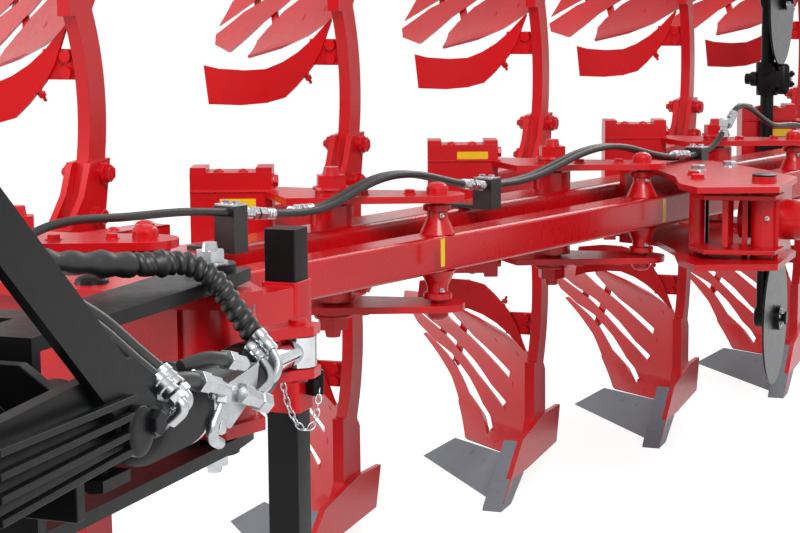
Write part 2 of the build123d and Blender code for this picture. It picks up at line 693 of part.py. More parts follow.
# Headstock: housing round the turnover shaft with its two cross plates
mast_half = 155.0
mast_thick = 20.0
housing = whole([
    rod((swing_x, housing_front, axis_height), (0, 1, 0), shaft_radius + 30, housing_rear - housing_front),
    slab_y([(swing_x - mast_half, axis_height - 270), (swing_x + mast_half, axis_height - 270),
            (swing_x + mast_half, axis_height + 140), (swing_x + 90, axis_height + 210),
            (swing_x - 90, axis_height + 210), (swing_x - mast_half, axis_height + 140)],
           housing_front + 10, housing_front + 30),
    slab_y([(swing_x - mast_half, axis_height - 70), (swing_x + mast_half, axis_height - 70),
            (swing_x + mast_half, axis_height + 70), (swing_x + 80, axis_height + 120),
            (swing_x - 80, axis_height + 120), (swing_x - mast_half, axis_height + 70)],
           housing_rear - 60, housing_rear - 40),
]).cut(rod((swing_x, housing_front - 50, axis_height), (0, 1, 0), shaft_radius + running_fit, 600))
add("turnover_housing", housing)

# Mast: two side plates from the hitch beam to the top, a cross tube and the top-link lugs
hitch_y, hitch_z = -3050.0, axis_height - 220
hitch_side = 120.0
mast_rear = -2960.0
top_y, top_z = -2990.0, axis_height + 460
ram_y = -3060.0
ram_pin_radius = 25.0
link_pin = (-3140.0, top_z + 55)
link_bore_radius = 16.0
link_lug = 18.0
link_lug_offset = 58.0
mast_side = [(-3130, hitch_z - 75), (mast_rear, hitch_z - 75), (mast_rear, axis_height + 130), (-2945, top_z + 40),
             (-3110, top_z + 40), (-3130, axis_height + 130)]
opening = [(hitch_y - hitch_side / 2, hitch_z - hitch_side / 2), (hitch_y + hitch_side / 2, hitch_z - hitch_side / 2),
           (hitch_y + hitch_side / 2, hitch_z + hitch_side / 2), (hitch_y - hitch_side / 2, hitch_z + hitch_side / 2)]
mast_pieces = [
    rod((swing_x - mast_half - 5, top_y, top_z), (1, 0, 0), 32, 2 * mast_half + 10),
    rod((swing_x, top_y, top_z), (0, -1, 0), ram_pin_radius, 111),
    rod((swing_x, top_y - 101, top_z), (0, -1, 0), ram_pin_radius + 9, 10),
]
for side in (-1, 1):
    near = swing_x + side * mast_half
    far = swing_x + side * (mast_half + mast_thick)
    low, high = min(near, far), max(near, far)
    mast_pieces.append(slab_x(mast_side, low, high))
mast = whole(mast_pieces)
mast = mast.cut(slab_x(opening, swing_x - 300, swing_x + 300))
for offset in (-link_lug_offset, link_lug_offset):
    mast = mast.fuse(slab_x([(top_y, top_z - 18), (top_y + 20, top_z + 24), (link_pin[0] + 10, link_pin[1] + 34),
                             (link_pin[0] - 30, link_pin[1] + 20), (link_pin[0] - 26, link_pin[1] - 26)],
                            swing_x + offset - link_lug / 2, swing_x + offset + link_lug / 2))
mast = mast.cut(rod((swing_x - 100, *link_pin), (1, 0, 0), link_bore_radius, 200))
add("mast_frame", mast)

# Braces: a lug plate running back from each mast plate, with a strap from its rear end up to the mast top
lug_plate = [(mast_rear, axis_height - 27), (-2530, axis_height + 10), (-2530, axis_height + 80),
             (-2590, axis_height + 115), (mast_rear, axis_height + 92)]
for side, name in ((-1, "brace_furrow"), (1, "brace_land")):
    near = swing_x + side * (mast_half + mast_thick)
    far = near + side * 15
    low, high = min(near, far), max(near, far)
    inner = near - side * mast_thick
    plate = slab_x(lug_plate, min(near, inner), max(near, inner))
    strap = slab_x([(-2600, axis_height - 2), (-2550, axis_height + 48), (-3058, top_z + 48), (-3100, top_z)],
                   low, high)
    bolts = [rod((high if side > 0 else low - 12, y, z), (1, 0, 0), 20, 12)
             for y, z in ((-2590, axis_height + 35), (-3066, top_z + 10))]
    add(name, whole([strap, plate] + bolts))

# Hitch beam across the bottom, with lug plates and the lower link pins
hitch_pin_radius = 18.3
hitch_pin_place = (-3150.0, hitch_z + 50)
hitch_half = 430.0
tube_start_x = swing_x - hitch_half
hitch = square_tube(Vector(tube_start_x, hitch_y, hitch_z), Vector(1, 0, 0), hitch_side, 2 * hitch_half, beam_corner,
                    beam_wall)
hitch_pieces = [hitch]
for side in (-1, 1):
    edge = swing_x + side * hitch_half
    low = min(edge, edge - side * 20)
    hitch_pieces.append(slab_x([(hitch_y + 60, hitch_z - 60), (hitch_y + 60, hitch_z + 60),
                                (hitch_pin_place[0] + 10, hitch_z + 95), (hitch_pin_place[0] - 40, hitch_z + 85),
                                (hitch_pin_place[0] - 40, hitch_z + 20), (hitch_y - 60, hitch_z - 60)],
                               low, low + 20))
    start = edge if side > 0 else edge - 125
    hitch_pieces.append(rod((start, *hitch_pin_place), (1, 0, 0), hitch_pin_radius, 125))
add("hitch_beam", whole(hitch_pieces))

# Turnover cylinder hanging from the mast's pin towards the crank
crank_x = swing_x + crank_radius
ram_run = Vector(crank_x - swing_x, 0, axis_height - top_z)
ram_unit = ram_run.normalized()
ram_top = Vector(swing_x, ram_y, top_z)
ram_half = 26.0
ram = whole([
    rod(ram_top + Vector(0, -ram_half, 0), (0, 1, 0), 40, 2 * ram_half),
    rod(ram_top + ram_unit * 34, ram_unit, 42, 240),
    rod(ram_top + ram_unit * 240, ram_unit, 18, ram_run.length - 240 - 20),
    rod(ram_top + ram_run + Vector(0, -18, 0), (0, 1, 0), 30, 36),
]).cut(
    rod(ram_top + Vector(0, -60, 0), (0, 1, 0), ram_pin_radius + running_fit, 120),
    rod(ram_top + ram_run + Vector(0, -60, 0), (0, 1, 0), 16.3, 120))
add("turnover_cylinder", ram)

# Hoses held along the beam by clamps, each arching over the carriers
hose_radius = 8.0
hose_path = [
    # along the beam, height above the axis, then 1 where a clamp holds it
    (-1900, 142, 0), (-1860, 156, 0), (-1660, 160, 0), (-1500, 154, 0), (-1350, 138, 1), (-1200, 122, 0),
    (-1055, 123, 0), (-905, 160, 0), (-730, 161, 0), (-600, 134, 0), (-460, 116, 1), (-250, 122, 0),
    (-40, 160, 0), (160, 161, 0), (300, 134, 0), (574, 116, 1), (690, 150, 0), (800, 230, 0), (910, 210, 0),
    (1040, 164, 0), (1120, 160, 0), (1300, 115, 0),
]
hose_runs = [
    # name, offset across from the beam's centre line, start and end along the beam
    ("hose_long", 120.0, -1900, 1300),
    ("hose_short", 100.0, -1350, 574),
]


def hose_tube(points, radius):
    """Tube along a smooth line through the points."""
    spine = Spline(*points)
    return sweep(Plane(origin=points[0], z_dir=spine % 0) * Circle(radius), path=spine)


for name, offset, start, end in hose_runs:
    points = []
    for run_along, height, held in hose_path:
        if start <= run_along <= end:
            place = along * run_along + across * offset
            points.append((place.X, place.Y, axis_height + height))
    add(name, hose_tube(points, hose_radius))

clamp_solids = []
beam_top = axis_height + beam_width / 2
for run_along, height, held in hose_path:
    if not held:
        continue
    plan = [along * (run_along + step) + across * reach
            for step, reach in ((-20, 10), (20, 10), (20, 136), (-20, 136))]
    head = [along * (run_along + step) + across * reach
            for step, reach in ((-20, 84), (20, 84), (20, 136), (-20, 136))]
    clamp_solids.append(whole([
        slab_z([(place.X, place.Y) for place in plan], beam_top, beam_top + 8),
        slab_z([(place.X, place.Y) for place in head], beam_top, axis_height + height + 14),
    ]))
hose_clamps = Compound(clamp_solids)
for name, offset, start, end in hose_runs:
    hose_clamps = hose_clamps - nodes[name]
add("hose_clamps", hose_clamps)

# Guarded hose over the fork, held by the turnover frame: x, y and height above the axis
guard_radius = 14.0
guard_path = [
    (-75, -2480, 205), (-46, -2430, 202), (-8, -2340, 188), (34, -2245, 174), (66, -2195, 171),
    (90, -2165, 166), (122, -2150, 143), (154, -2132, 88), (180, -2115, 42),
]
guard_points = [(x, y, axis_height + height) for x, y, height in guard_path]
add("hose_guarded", hose_tube(guard_points, guard_radius) - nodes["turnover_frame"])

# Stand the whole on the centre of its floor outline and write each piece
everything = Compound([solid for shape in nodes.values() for solid in shape.solids()])
extent = everything.bounding_box()
shift = Vector(-(extent.min.X + extent.max.X) / 2, -(extent.min.Y + extent.max.Y) / 2, -extent.min.Z)
os.makedirs("parts", exist_ok=True)
for name, shape in nodes.items():
    export_step(Pos(shift.X, shift.Y, shift.Z) * shape, f"parts/{name}.step")
print("origin shift", shift)
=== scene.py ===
import bpy, bmesh
import json, math
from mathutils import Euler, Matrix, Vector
from mathutils.bvhtree import BVHTree

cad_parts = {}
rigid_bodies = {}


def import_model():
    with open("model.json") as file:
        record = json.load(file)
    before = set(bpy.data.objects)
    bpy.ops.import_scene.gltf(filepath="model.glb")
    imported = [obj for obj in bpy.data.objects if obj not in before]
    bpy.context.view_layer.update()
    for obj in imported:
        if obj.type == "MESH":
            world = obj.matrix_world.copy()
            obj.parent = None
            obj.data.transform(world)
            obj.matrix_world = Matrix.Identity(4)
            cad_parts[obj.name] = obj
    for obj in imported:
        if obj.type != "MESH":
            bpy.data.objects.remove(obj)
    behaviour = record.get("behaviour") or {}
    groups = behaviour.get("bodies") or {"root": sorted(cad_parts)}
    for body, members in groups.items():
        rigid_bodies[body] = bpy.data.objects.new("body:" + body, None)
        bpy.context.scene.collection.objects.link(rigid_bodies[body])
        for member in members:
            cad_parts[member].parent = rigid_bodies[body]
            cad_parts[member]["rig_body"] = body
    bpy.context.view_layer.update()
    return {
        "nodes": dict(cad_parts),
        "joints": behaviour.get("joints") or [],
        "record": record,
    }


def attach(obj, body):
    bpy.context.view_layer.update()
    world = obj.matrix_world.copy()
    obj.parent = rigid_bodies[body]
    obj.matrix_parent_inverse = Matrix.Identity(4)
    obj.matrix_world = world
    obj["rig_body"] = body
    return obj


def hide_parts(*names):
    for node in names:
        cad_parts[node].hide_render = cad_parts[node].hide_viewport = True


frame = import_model()
nodes = frame["nodes"]
joints = {j["name"]: j for j in frame["joints"]}
scene = bpy.context.scene
middlePivot = Vector(joints["carrier_3_pivot"]["pos_m"])
origin = Vector((middlePivot.x, middlePivot.y, 0))  # floor below the middle carrier's main pivot
axisHeight = middlePivot.z
along = Vector((math.sin(math.radians(15.5)), math.cos(math.radians(15.5)), 0))
across = Vector((along.y, -along.x, 0))
leverWay = Vector((math.cos(math.radians(21.2)), math.sin(math.radians(21.2)), 0))
leverSide = Vector((-leverWay.y, leverWay.x, 0))
up = Vector((0, 0, 1))
spacing = 0.9
rows = range(1, 6)
print("frame loaded")


def at(x, y, z):
    # a place across, along and above the floor, from the middle carrier's main pivot
    return origin + Vector((x, y, z))


def onBeam(run, side, height):
    # a place by the main beam: along it, across it and above its centre line
    return origin + along * run + across * side + up * (axisHeight + height)


def onCarrier(row, x, y, height):
    # a place on one carrier: along its lever, square to it and above the beam's centre line
    return onBeam((row - 3) * spacing, 0, height) + leverWay * x + leverSide * y


def bodyOf(name):
    return nodes[name]["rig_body"]


# colour, nodes and materials
def hexColour(text):
    parts = [int(text[i:i + 2], 16) / 255 for i in (1, 3, 5)]
    return tuple(c / 12.92 if c <= 0.04045 else ((c + 0.055) / 1.055) ** 2.4 for c in parts) + (1.0,)


def addNode(tree, kind, settings=None, links=None):
    node = tree.nodes.new(kind)
    for key, value in (settings or {}).items():
        if isinstance(key, str) and hasattr(node, key) and key not in node.inputs:
            setattr(node, key, value)
        else:
            node.inputs[key].default_value = value
    for key, source in (links or {}).items():
        tree.links.new(source, node.inputs[key])
    return node


def newMaterial(name):
    material = bpy.data.materials.new(name)
    material.use_nodes = True
    tree = material.node_tree
    tree.nodes.clear()
    shader = addNode(tree, "ShaderNodeBsdfPrincipled")
    addNode(tree, "ShaderNodeOutputMaterial", links={"Surface": shader.outputs[0]})
    place = addNode(tree, "ShaderNodeTexCoord").outputs["Object"]
    return material, tree, shader, place


def blendColours(tree, factor, first, second):
    mix = addNode(tree, "ShaderNodeMix", {"data_type": "RGBA"}, {0: factor})
    for socket, colour in ((mix.inputs["A"], first), (mix.inputs["B"], second)):
        if isinstance(colour, tuple):
            socket.default_value = colour
        else:
            tree.links.new(colour, socket)
    return mix.outputs["Result"]


def sprayPaint(name, base, shade, roughness, coat, gloss=0.35, dust=0.0, peel=0.00025):
    # Enamel sprayed on rolled steel: slow colour drift, orange peel 4 mm across and a wet coat,
    # with pale dust settled in places
    material, tree, shader, place = newMaterial(name)
    drift = addNode(tree, "ShaderNodeTexNoise", {"Scale": 3.5, "Detail": 4.0}, {"Vector": place})
    fine = addNode(tree, "ShaderNodeTexNoise", {"Scale": 60.0, "Detail": 3.0}, {"Vector": place})
    band = addNode(tree, "ShaderNodeMapRange", {"From Min": 0.35, "From Max": 0.7},
                   {"Value": drift.outputs[0]})
    colour = blendColours(tree, band.outputs[0], hexColour(base), hexColour(shade))
    if dust:
        speck = addNode(tree, "ShaderNodeMapRange", {"From Min": 0.58, "From Max": 0.8, "To Max": dust},
                        {"Value": fine.outputs[0]})
        colour = blendColours(tree, speck.outputs[0], colour, hexColour("#8f8a86"))
    tree.links.new(colour, shader.inputs["Base Color"])
    rough = addNode(tree, "ShaderNodeMapRange", {"To Min": roughness * 0.8, "To Max": roughness * 1.25},
                    {"Value": fine.outputs[0]})
    tree.links.new(rough.outputs[0], shader.inputs["Roughness"])
    shader.inputs["Specular IOR Level"].default_value = gloss
    shader.inputs["Coat Weight"].default_value = coat
    shader.inputs["Coat Roughness"].default_value = 0.12
    skin = addNode(tree, "ShaderNodeTexNoise", {"Scale": 250.0, "Detail": 2.0}, {"Vector": place})
    bump = addNode(tree, "ShaderNodeBump", {"Strength": 0.25, "Distance": peel}, {"Height": skin.outputs[0]})
    tree.links.new(bump.outputs[0], shader.inputs["Normal"])
    return material


def bareMetal(name, base, roughness, grain, depth=0.0002):
    # Plated or ground steel: fine grain, cloudy from handling, a little uneven in its shine
    material, tree, shader, place = newMaterial(name)
    noise = addNode(tree, "ShaderNodeTexNoise", {"Scale": grain, "Detail": 5.0}, {"Vector": place})
    cloud = addNode(tree, "ShaderNodeTexNoise", {"Scale": 45.0, "Detail": 4.0}, {"Vector": place})
    dull = tuple(c * 0.55 for c in hexColour(base)[:3]) + (1.0,)
    tree.links.new(blendColours(tree, cloud.outputs[0], hexColour(base), dull), shader.inputs["Base Color"])
    rough = addNode(tree, "ShaderNodeMapRange", {"To Min": roughness * 0.7, "To Max": roughness * 1.4},
                    {"Value": noise.outputs[0]})
    tree.links.new(rough.outputs[0], shader.inputs["Roughness"])
    shader.inputs["Metallic"].default_value = 1.0
    bump = addNode(tree, "ShaderNodeBump", {"Strength": 0.3, "Distance": depth}, {"Height": noise.outputs[0]})
    tree.links.new(bump.outputs[0], shader.inputs["Normal"])
    return material


def mouldedRubber(name, base, roughness, grain):
    # Black rubber with a matt pebbled skin, greyer where dust clings
    material, tree, shader, place = newMaterial(name)
    noise = addNode(tree, "ShaderNodeTexNoise", {"Scale": grain, "Detail": 4.0}, {"Vector": place})
    cloud = addNode(tree, "ShaderNodeTexNoise", {"Scale": 9.0, "Detail": 3.0}, {"Vector": place})
    tree.links.new(blendColours(tree, cloud.outputs[0], hexColour(base), hexColour("#2a2928")),
                   shader.inputs["Base Color"])
    rough = addNode(tree, "ShaderNodeMapRange",
                    {"To Min": roughness * 0.85, "To Max": min(1.0, roughness * 1.2)},
                    {"Value": noise.outputs[0]})
    tree.links.new(rough.outputs[0], shader.inputs["Roughness"])
    bump = addNode(tree, "ShaderNodeBump", {"Strength": 0.35, "Distance": 0.0004},
                   {"Height": noise.outputs[0]})
    tree.links.new(bump.outputs[0], shader.inputs["Normal"])
    return material


redEnamel = sprayPaint("red_enamel_on_steel", "#c60a14", "#b60710", 0.32, 0.10, 0.32)
beamEnamel = sprayPaint("red_enamel_on_tube", "#c20913", "#b2060f", 0.28, 0.14, 0.36)
boardEnamel = sprayPaint("red_enamel_on_mouldboard", "#cc0b15", "#bc0811", 0.34, 0.05, 0.22)
blackEnamel = sprayPaint("black_enamel_on_steel", "#0c0d0f", "#070809", 0.38, 0.02, 0.16)
greyPrimer = sprayPaint("grey_primer_on_share", "#7b828b", "#6b727a", 0.5, 0.03, dust=0.3)
discPaint = sprayPaint("black_varnish_on_disc", "#0e1013", "#08090a", 0.34, 0.08, 0.2, dust=0.12)
zincPlate = bareMetal("zinc_plated_steel", "#c9ccd0", 0.28, 400.0)
hardChrome = bareMetal("hard_chromed_rod", "#dfe1e4", 0.09, 300.0, depth=0.00005)
hoseRubber = mouldedRubber("black_hydraulic_hose_rubber", "#0e0e10", 0.42, 500.0)
tyreRubber = mouldedRubber("tyre_rubber", "#161617", 0.75, 160.0)
bootRubber = mouldedRubber("bellows_rubber", "#0b0b0d", 0.45, 300.0)
yellowVinyl = sprayPaint("yellow_vinyl_label", "#e8c417", "#dfbb10", 0.35, 0.15)
print("materials made")


# carried-over CAD pieces: merged, edges eased, then painted
finishes = {"red_paint": redEnamel, "beam_red": beamEnamel, "board_red": boardEnamel,
            "black_paint": blackEnamel,
            "share_grey": greyPrimer, "rod_chrome": hardChrome, "disc_steel": discPaint,
            "tyre_rubber": tyreRubber, "hose_rubber": hoseRubber}
slotOf = {row["node"]: row["material_slot"] for row in frame["record"]["subparts"]}
easing = {"width": 0.0022, "small": 0.0012, "angle": math.radians(32), "merge": 0.00002}
fineNodes = ("shares", "mouldboards", "coulter_disc", "swing")


def flatten(piece):
    # the evaluated mesh kept as plain faces, modifiers gone
    graph = bpy.context.evaluated_depsgraph_get()
    graph.update()
    mesh = bpy.data.meshes.new_from_object(piece.evaluated_get(graph))
    piece.modifiers.clear()
    piece.data = mesh
    return piece


def crease(work):
    # smooth shading with hard corners kept
    for face in work.faces:
        face.smooth = True
    for edge in work.edges:
        edge.smooth = not (len(edge.link_faces) == 2 and edge.calc_face_angle(0) > easing["angle"])


def easeEdges(piece, width, segments=2):
    bevel = piece.modifiers.new("ease", "BEVEL")
    bevel.width = width
    bevel.segments = segments
    bevel.limit_method = "ANGLE"
    bevel.angle_limit = easing["angle"]
    bevel.harden_normals = True
    bevel.use_clamp_overlap = True
    return flatten(piece)


def dress(name):
    source = nodes[name]
    mesh = source.data.copy()
    work = bmesh.new()
    work.from_mesh(mesh)
    bmesh.ops.remove_doubles(work, verts=work.verts, dist=easing["merge"])
    bmesh.ops.dissolve_limit(work, angle_limit=math.radians(0.5), verts=work.verts, edges=work.edges)
    crease(work)
    work.to_mesh(mesh)
    work.free()
    piece = bpy.data.objects.new(name + "_finished", mesh)
    scene.collection.objects.link(piece)
    easeEdges(piece, easing["small"] if name.startswith(fineNodes) else easing["width"])
    piece.data.materials.clear()
    piece.data.materials.append(finishes[slotOf[name]])
    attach(piece, bodyOf(name))
    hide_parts(name)
    return piece


dressed = {name: dress(name) for name in sorted(nodes)}
print("CAD pieces dressed:", len(dressed))


# tools for the small pieces
def keepPiece(name, work, finish, body, ease=0.0):
    # the worked mesh becomes a finished piece riding on its body
    bmesh.ops.recalc_face_normals(work, faces=work.faces)
    crease(work)
    mesh = bpy.data.meshes.new(name)
    work.to_mesh(mesh)
    work.free()
    piece = bpy.data.objects.new(name, mesh)
    scene.collection.objects.link(piece)
    if ease:
        easeEdges(piece, ease)
    piece.data.materials.clear()
    piece.data.materials.append(finish)
    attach(piece, body)
    return piece


def addTurned(work, start, direction, profile, sides=24, turn=0.0, hollow=False):
    # a round or hexagonal piece: (distance, radius) steps turned about a line
    axis = Vector(direction).normalized()
    flat = (up if abs(axis.z) < 0.9 else Vector((1, 0, 0))).cross(axis).normalized()
    other = axis.cross(flat)
    rings = []
    for reach, radius in profile:
        centre = Vector(start) + axis * reach
        if radius <= 0:
            rings.append([work.verts.new(centre)])
            continue
        angles = [turn + 2 * math.pi * i / sides for i in range(sides)]
        rings.append([work.verts.new(centre + (flat * math.cos(a) + other * math.sin(a)) * radius) for a in angles])
    if hollow:
        rings.append(rings[0])
    for low, high in zip(rings, rings[1:]):
        for i in range(sides):
            j = i + 1
            corners = [low[i % len(low)], low[j % len(low)], high[j % len(high)], high[i % len(high)]]
            work.faces.new(list(dict.fromkeys(corners)))
    for ring in (rings[0], rings[-1]):
        if len(ring) > 1 and not hollow:
            work.faces.new(ring)


def smoothLine(points, steps=6):
    # a flowing line through the points
    path = [Vector(p) for p in points]
    path = [path[0] * 2 - path[1]] + path + [path[-1] * 2 - path[-2]]
    line = []
    for a, b, c, d in zip(path, path[1:], path[2:], path[3:]):
        for i in range(steps):
            t = i / steps
            line.append(0.5 * (b * 2 + (c - a) * t + (a * 2 - b * 5 + c * 4 - d) * t * t
                               + (b * 3 - a - c * 3 + d) * t ** 3))
    return line + [path[-2]]


def addTube(work, line, radii, sides=14):
    # a tube along a line; radii is one size, or one for each point
    sizes = radii if isinstance(radii, list) else [radii] * len(line)
    way = (line[1] - line[0]).normalized()
    flat = way.orthogonal().normalized()
    rings = []
    for i, place in enumerate(line):
        ahead = (line[min(i + 1, len(line) - 1)] - line[max(i - 1, 0)]).normalized()
        flat = (flat - ahead * flat.dot(ahead)).normalized()
        other = ahead.cross(flat)
        rings.append([work.verts.new(place + (flat * math.cos(2 * math.pi * k / sides)
                                              + other * math.sin(2 * math.pi * k / sides)) * sizes[i])
                      for k in range(sides)])
    for low, high in zip(rings, rings[1:]):
        for k in range(sides):
            j = (k + 1) % sides
            work.faces.new([low[k], low[j], high[j], high[k]])
    work.faces.new(rings[0])
    work.faces.new(rings[-1])


def addSlab(work, corners, thickness):
    # a flat plate: its outline, and its thickness as a vector
    low = [work.verts.new(Vector(c)) for c in corners]
    high = [work.verts.new(Vector(c) + Vector(thickness)) for c in corners]
    work.faces.new(low)
    work.faces.new(high)
    for i in range(len(low)):
        j = (i + 1) % len(low)
        work.faces.new([low[i], low[j], high[j], high[i]])


def addBar(work, start, end, width, thickness, facing):
    # a flat bar between two places, its broad side to the facing
    way = (Vector(end) - Vector(start)).normalized()
    side = way.cross(Vector(facing)).normalized() * width / 2
    out = side.cross(way).normalized() * thickness
    addSlab(work, [Vector(start) - side, Vector(end) - side, Vector(end) + side, Vector(start) + side], out)


def addBead(work, start, end, radius, ripple=0.006):
    # a rippled weld bead
    start, end = Vector(start), Vector(end)
    count = max(4, int((end - start).length / ripple) * 2)
    line = [start.lerp(end, i / count) for i in range(count + 1)]
    addTube(work, line, [radius * (1.0 if i % 2 else 0.8) for i in range(count + 1)], 7)


# Geometry Nodes: bolt heads on points, links along a line, a helix round a hose, lugs round a tyre
def newTree(name, inputs):
    tree = bpy.data.node_groups.new(name, "GeometryNodeTree")
    tree.interface.new_socket("Geometry", in_out="INPUT", socket_type="NodeSocketGeometry")
    tree.interface.new_socket("Geometry", in_out="OUTPUT", socket_type="NodeSocketGeometry")
    for label, kind in inputs.items():
        tree.interface.new_socket(label, in_out="INPUT", socket_type=kind)
    return tree, addNode(tree, "NodeGroupInput").outputs


def endTree(tree, shape, material):
    real = addNode(tree, "GeometryNodeRealizeInstances", links={"Geometry": shape})
    painted = addNode(tree, "GeometryNodeSetMaterial", links={"Geometry": real.outputs[0],
        "Material": material})
    addNode(tree, "NodeGroupOutput", links={0: painted.outputs[0]})


def runTree(piece, tree, values):
    # inputs are set by identifier before the first evaluation, then the result is kept as plain faces
    worker = piece.modifiers.new(tree.name, "NODES")
    worker.node_group = tree
    for item in tree.interface.items_tree:
        if item.in_out == "INPUT" and item.name in values:
            worker[item.identifier] = values[item.name]
    return flatten(piece)


fastenerShapes = {  # stacked sides, lower and upper radius, start and height, all in head radii
    "hex": [(18, 1.22, 1.18, -0.05, 0.2), (6, 1.0, 1.0, 0.15, 0.55), (6, 1.0, 0.86, 0.7, 0.09)],
    "nut": [(18, 1.2, 1.16, -0.05, 0.17), (6, 1.0, 1.0, 0.12, 0.72), (14, 0.54, 0.46, 0.84, 0.5)],
    "dome": [(18, 1.0, 0.94, -0.05, 0.25), (18, 0.94, 0.72, 0.2, 0.2), (18, 0.72, 0.3, 0.4, 0.14)],
    "flush": [(20, 1.0, 0.92, -0.1, 0.2), (4, 0.42, 0.38, 0.1, 0.05)],
    "tail": [(12, 0.95, 0.9, -0.05, 0.9), (10, 0.45, 0.4, 0.85, 1.3)],
}


def fastenerTree(kind):
    tree, given = newTree(kind + "_heads", {"Material": "NodeSocketMaterial"})
    layers = addNode(tree, "GeometryNodeJoinGeometry")
    for sides, lower, upper, start, height in fastenerShapes[kind]:
        cone = addNode(tree, "GeometryNodeMeshCone", {"Vertices": sides, "Radius Top": upper,
                                                      "Radius Bottom": lower, "Depth": height})
        raised = addNode(tree, "GeometryNodeTransform", {"Translation": (0, 0, start)},
                         {"Geometry": cone.outputs["Mesh"]})
        tree.links.new(raised.outputs[0], layers.inputs[0])
    facing = addNode(tree, "GeometryNodeInputNamedAttribute", {"data_type": "FLOAT_VECTOR", "Name": "facing"})
    size = addNode(tree, "GeometryNodeInputNamedAttribute", {"data_type": "FLOAT", "Name": "size"})
    turned = addNode(tree, "FunctionNodeAlignRotationToVector", {"axis": "Z"}, {"Vector": facing.outputs[0]})
    placed = addNode(tree, "GeometryNodeInstanceOnPoints",
                     links={"Points": given[0], "Instance": layers.outputs[0], "Rotation": turned.outputs[0],
                            "Scale": size.outputs[0]})
    endTree(tree, placed.outputs[0], given["Material"])
    return tree


fastenerTrees = {kind: fastenerTree(kind) for kind in fastenerShapes}
fasteners = {}  # body, slot and kind: the places, facings and sizes gathered below
metals = {"zinc": (zincPlate, "rod_chrome")}


def addFastener(body, slot, kind, place, facing, size):
    fasteners.setdefault((body, slot, kind), []).append((Vector(place), Vector(facing).normalized(), size))


def makeFasteners():
    for (body, slot, kind), group in sorted(fasteners.items()):
        mesh = bpy.data.meshes.new("points")
        mesh.from_pydata([row[0] for row in group], [], [])
        mesh.attributes.new("facing", "FLOAT_VECTOR", "POINT")
        mesh.attributes.new("size", "FLOAT", "POINT")
        for i, (place, way, radius) in enumerate(group):
            mesh.attributes["facing"].data[i].vector = way
            mesh.attributes["size"].data[i].value = radius
        piece = bpy.data.objects.new(f"{kind}_heads_{slot}_{body}", mesh)
        scene.collection.objects.link(piece)
        finish, recordSlot = metals.get(slot, (finishes.get(slot), slot))
        runTree(piece, fastenerTrees[kind], {"Material": finish})
        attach(piece, body)
    print("fasteners:", sum(len(group) for group in fasteners.values()))


def chainTree():
    # oval links a pitch apart along a line, each turned a quarter from the last
    tree, given = newTree("chain_links", {"Pitch": "NodeSocketFloat", "Wire": "NodeSocketFloat",
                                          "Material": "NodeSocketMaterial"})
    line = addNode(tree, "GeometryNodeMeshToCurve", links={"Mesh": given[0]})
    spread = addNode(tree, "GeometryNodeResampleCurve", {"mode": "LENGTH"},
                     {"Curve": line.outputs[0], "Length": given["Pitch"]})
    tangent = addNode(tree, "GeometryNodeInputTangent")
    index = addNode(tree, "GeometryNodeInputIndex")
    quarter = addNode(tree, "ShaderNodeMath", {"operation": "MULTIPLY", 1: math.pi / 2},
                      {0: index.outputs[0]})
    twist = addNode(tree, "FunctionNodeAxisAngleToRotation", {"Axis": (1, 0, 0)},
                    {"Angle": quarter.outputs[0]})
    align = addNode(tree, "FunctionNodeAlignRotationToVector", {"axis": "X"},
                    {"Rotation": twist.outputs[0], "Vector": tangent.outputs[0]})
    ring = addNode(tree, "GeometryNodeCurvePrimitiveCircle", {"Resolution": 12, "Radius": 1.0})
    wide = addNode(tree, "ShaderNodeMath", {"operation": "MULTIPLY", 1: 0.74}, {0: given["Pitch"]})
    slim = addNode(tree, "ShaderNodeMath", {"operation": "MULTIPLY", 1: 0.42}, {0: given["Pitch"]})
    scale = addNode(tree, "ShaderNodeCombineXYZ", {2: 1.0}, {0: wide.outputs[0], 1: slim.outputs[0]})
    oval = addNode(tree, "GeometryNodeTransform", links={"Geometry": ring.outputs[0],
        "Scale": scale.outputs[0]})
    wire = addNode(tree, "GeometryNodeCurvePrimitiveCircle", {"Resolution": 7}, {"Radius": given["Wire"]})
    link = addNode(tree, "GeometryNodeCurveToMesh", links={"Curve": oval.outputs[0],
                                                           "Profile Curve": wire.outputs[0]})
    placed = addNode(tree, "GeometryNodeInstanceOnPoints",
                     links={"Points": spread.outputs[0], "Instance": link.outputs[0],
                            "Rotation": align.outputs[0]})
    endTree(tree, placed.outputs[0], given["Material"])
    return tree


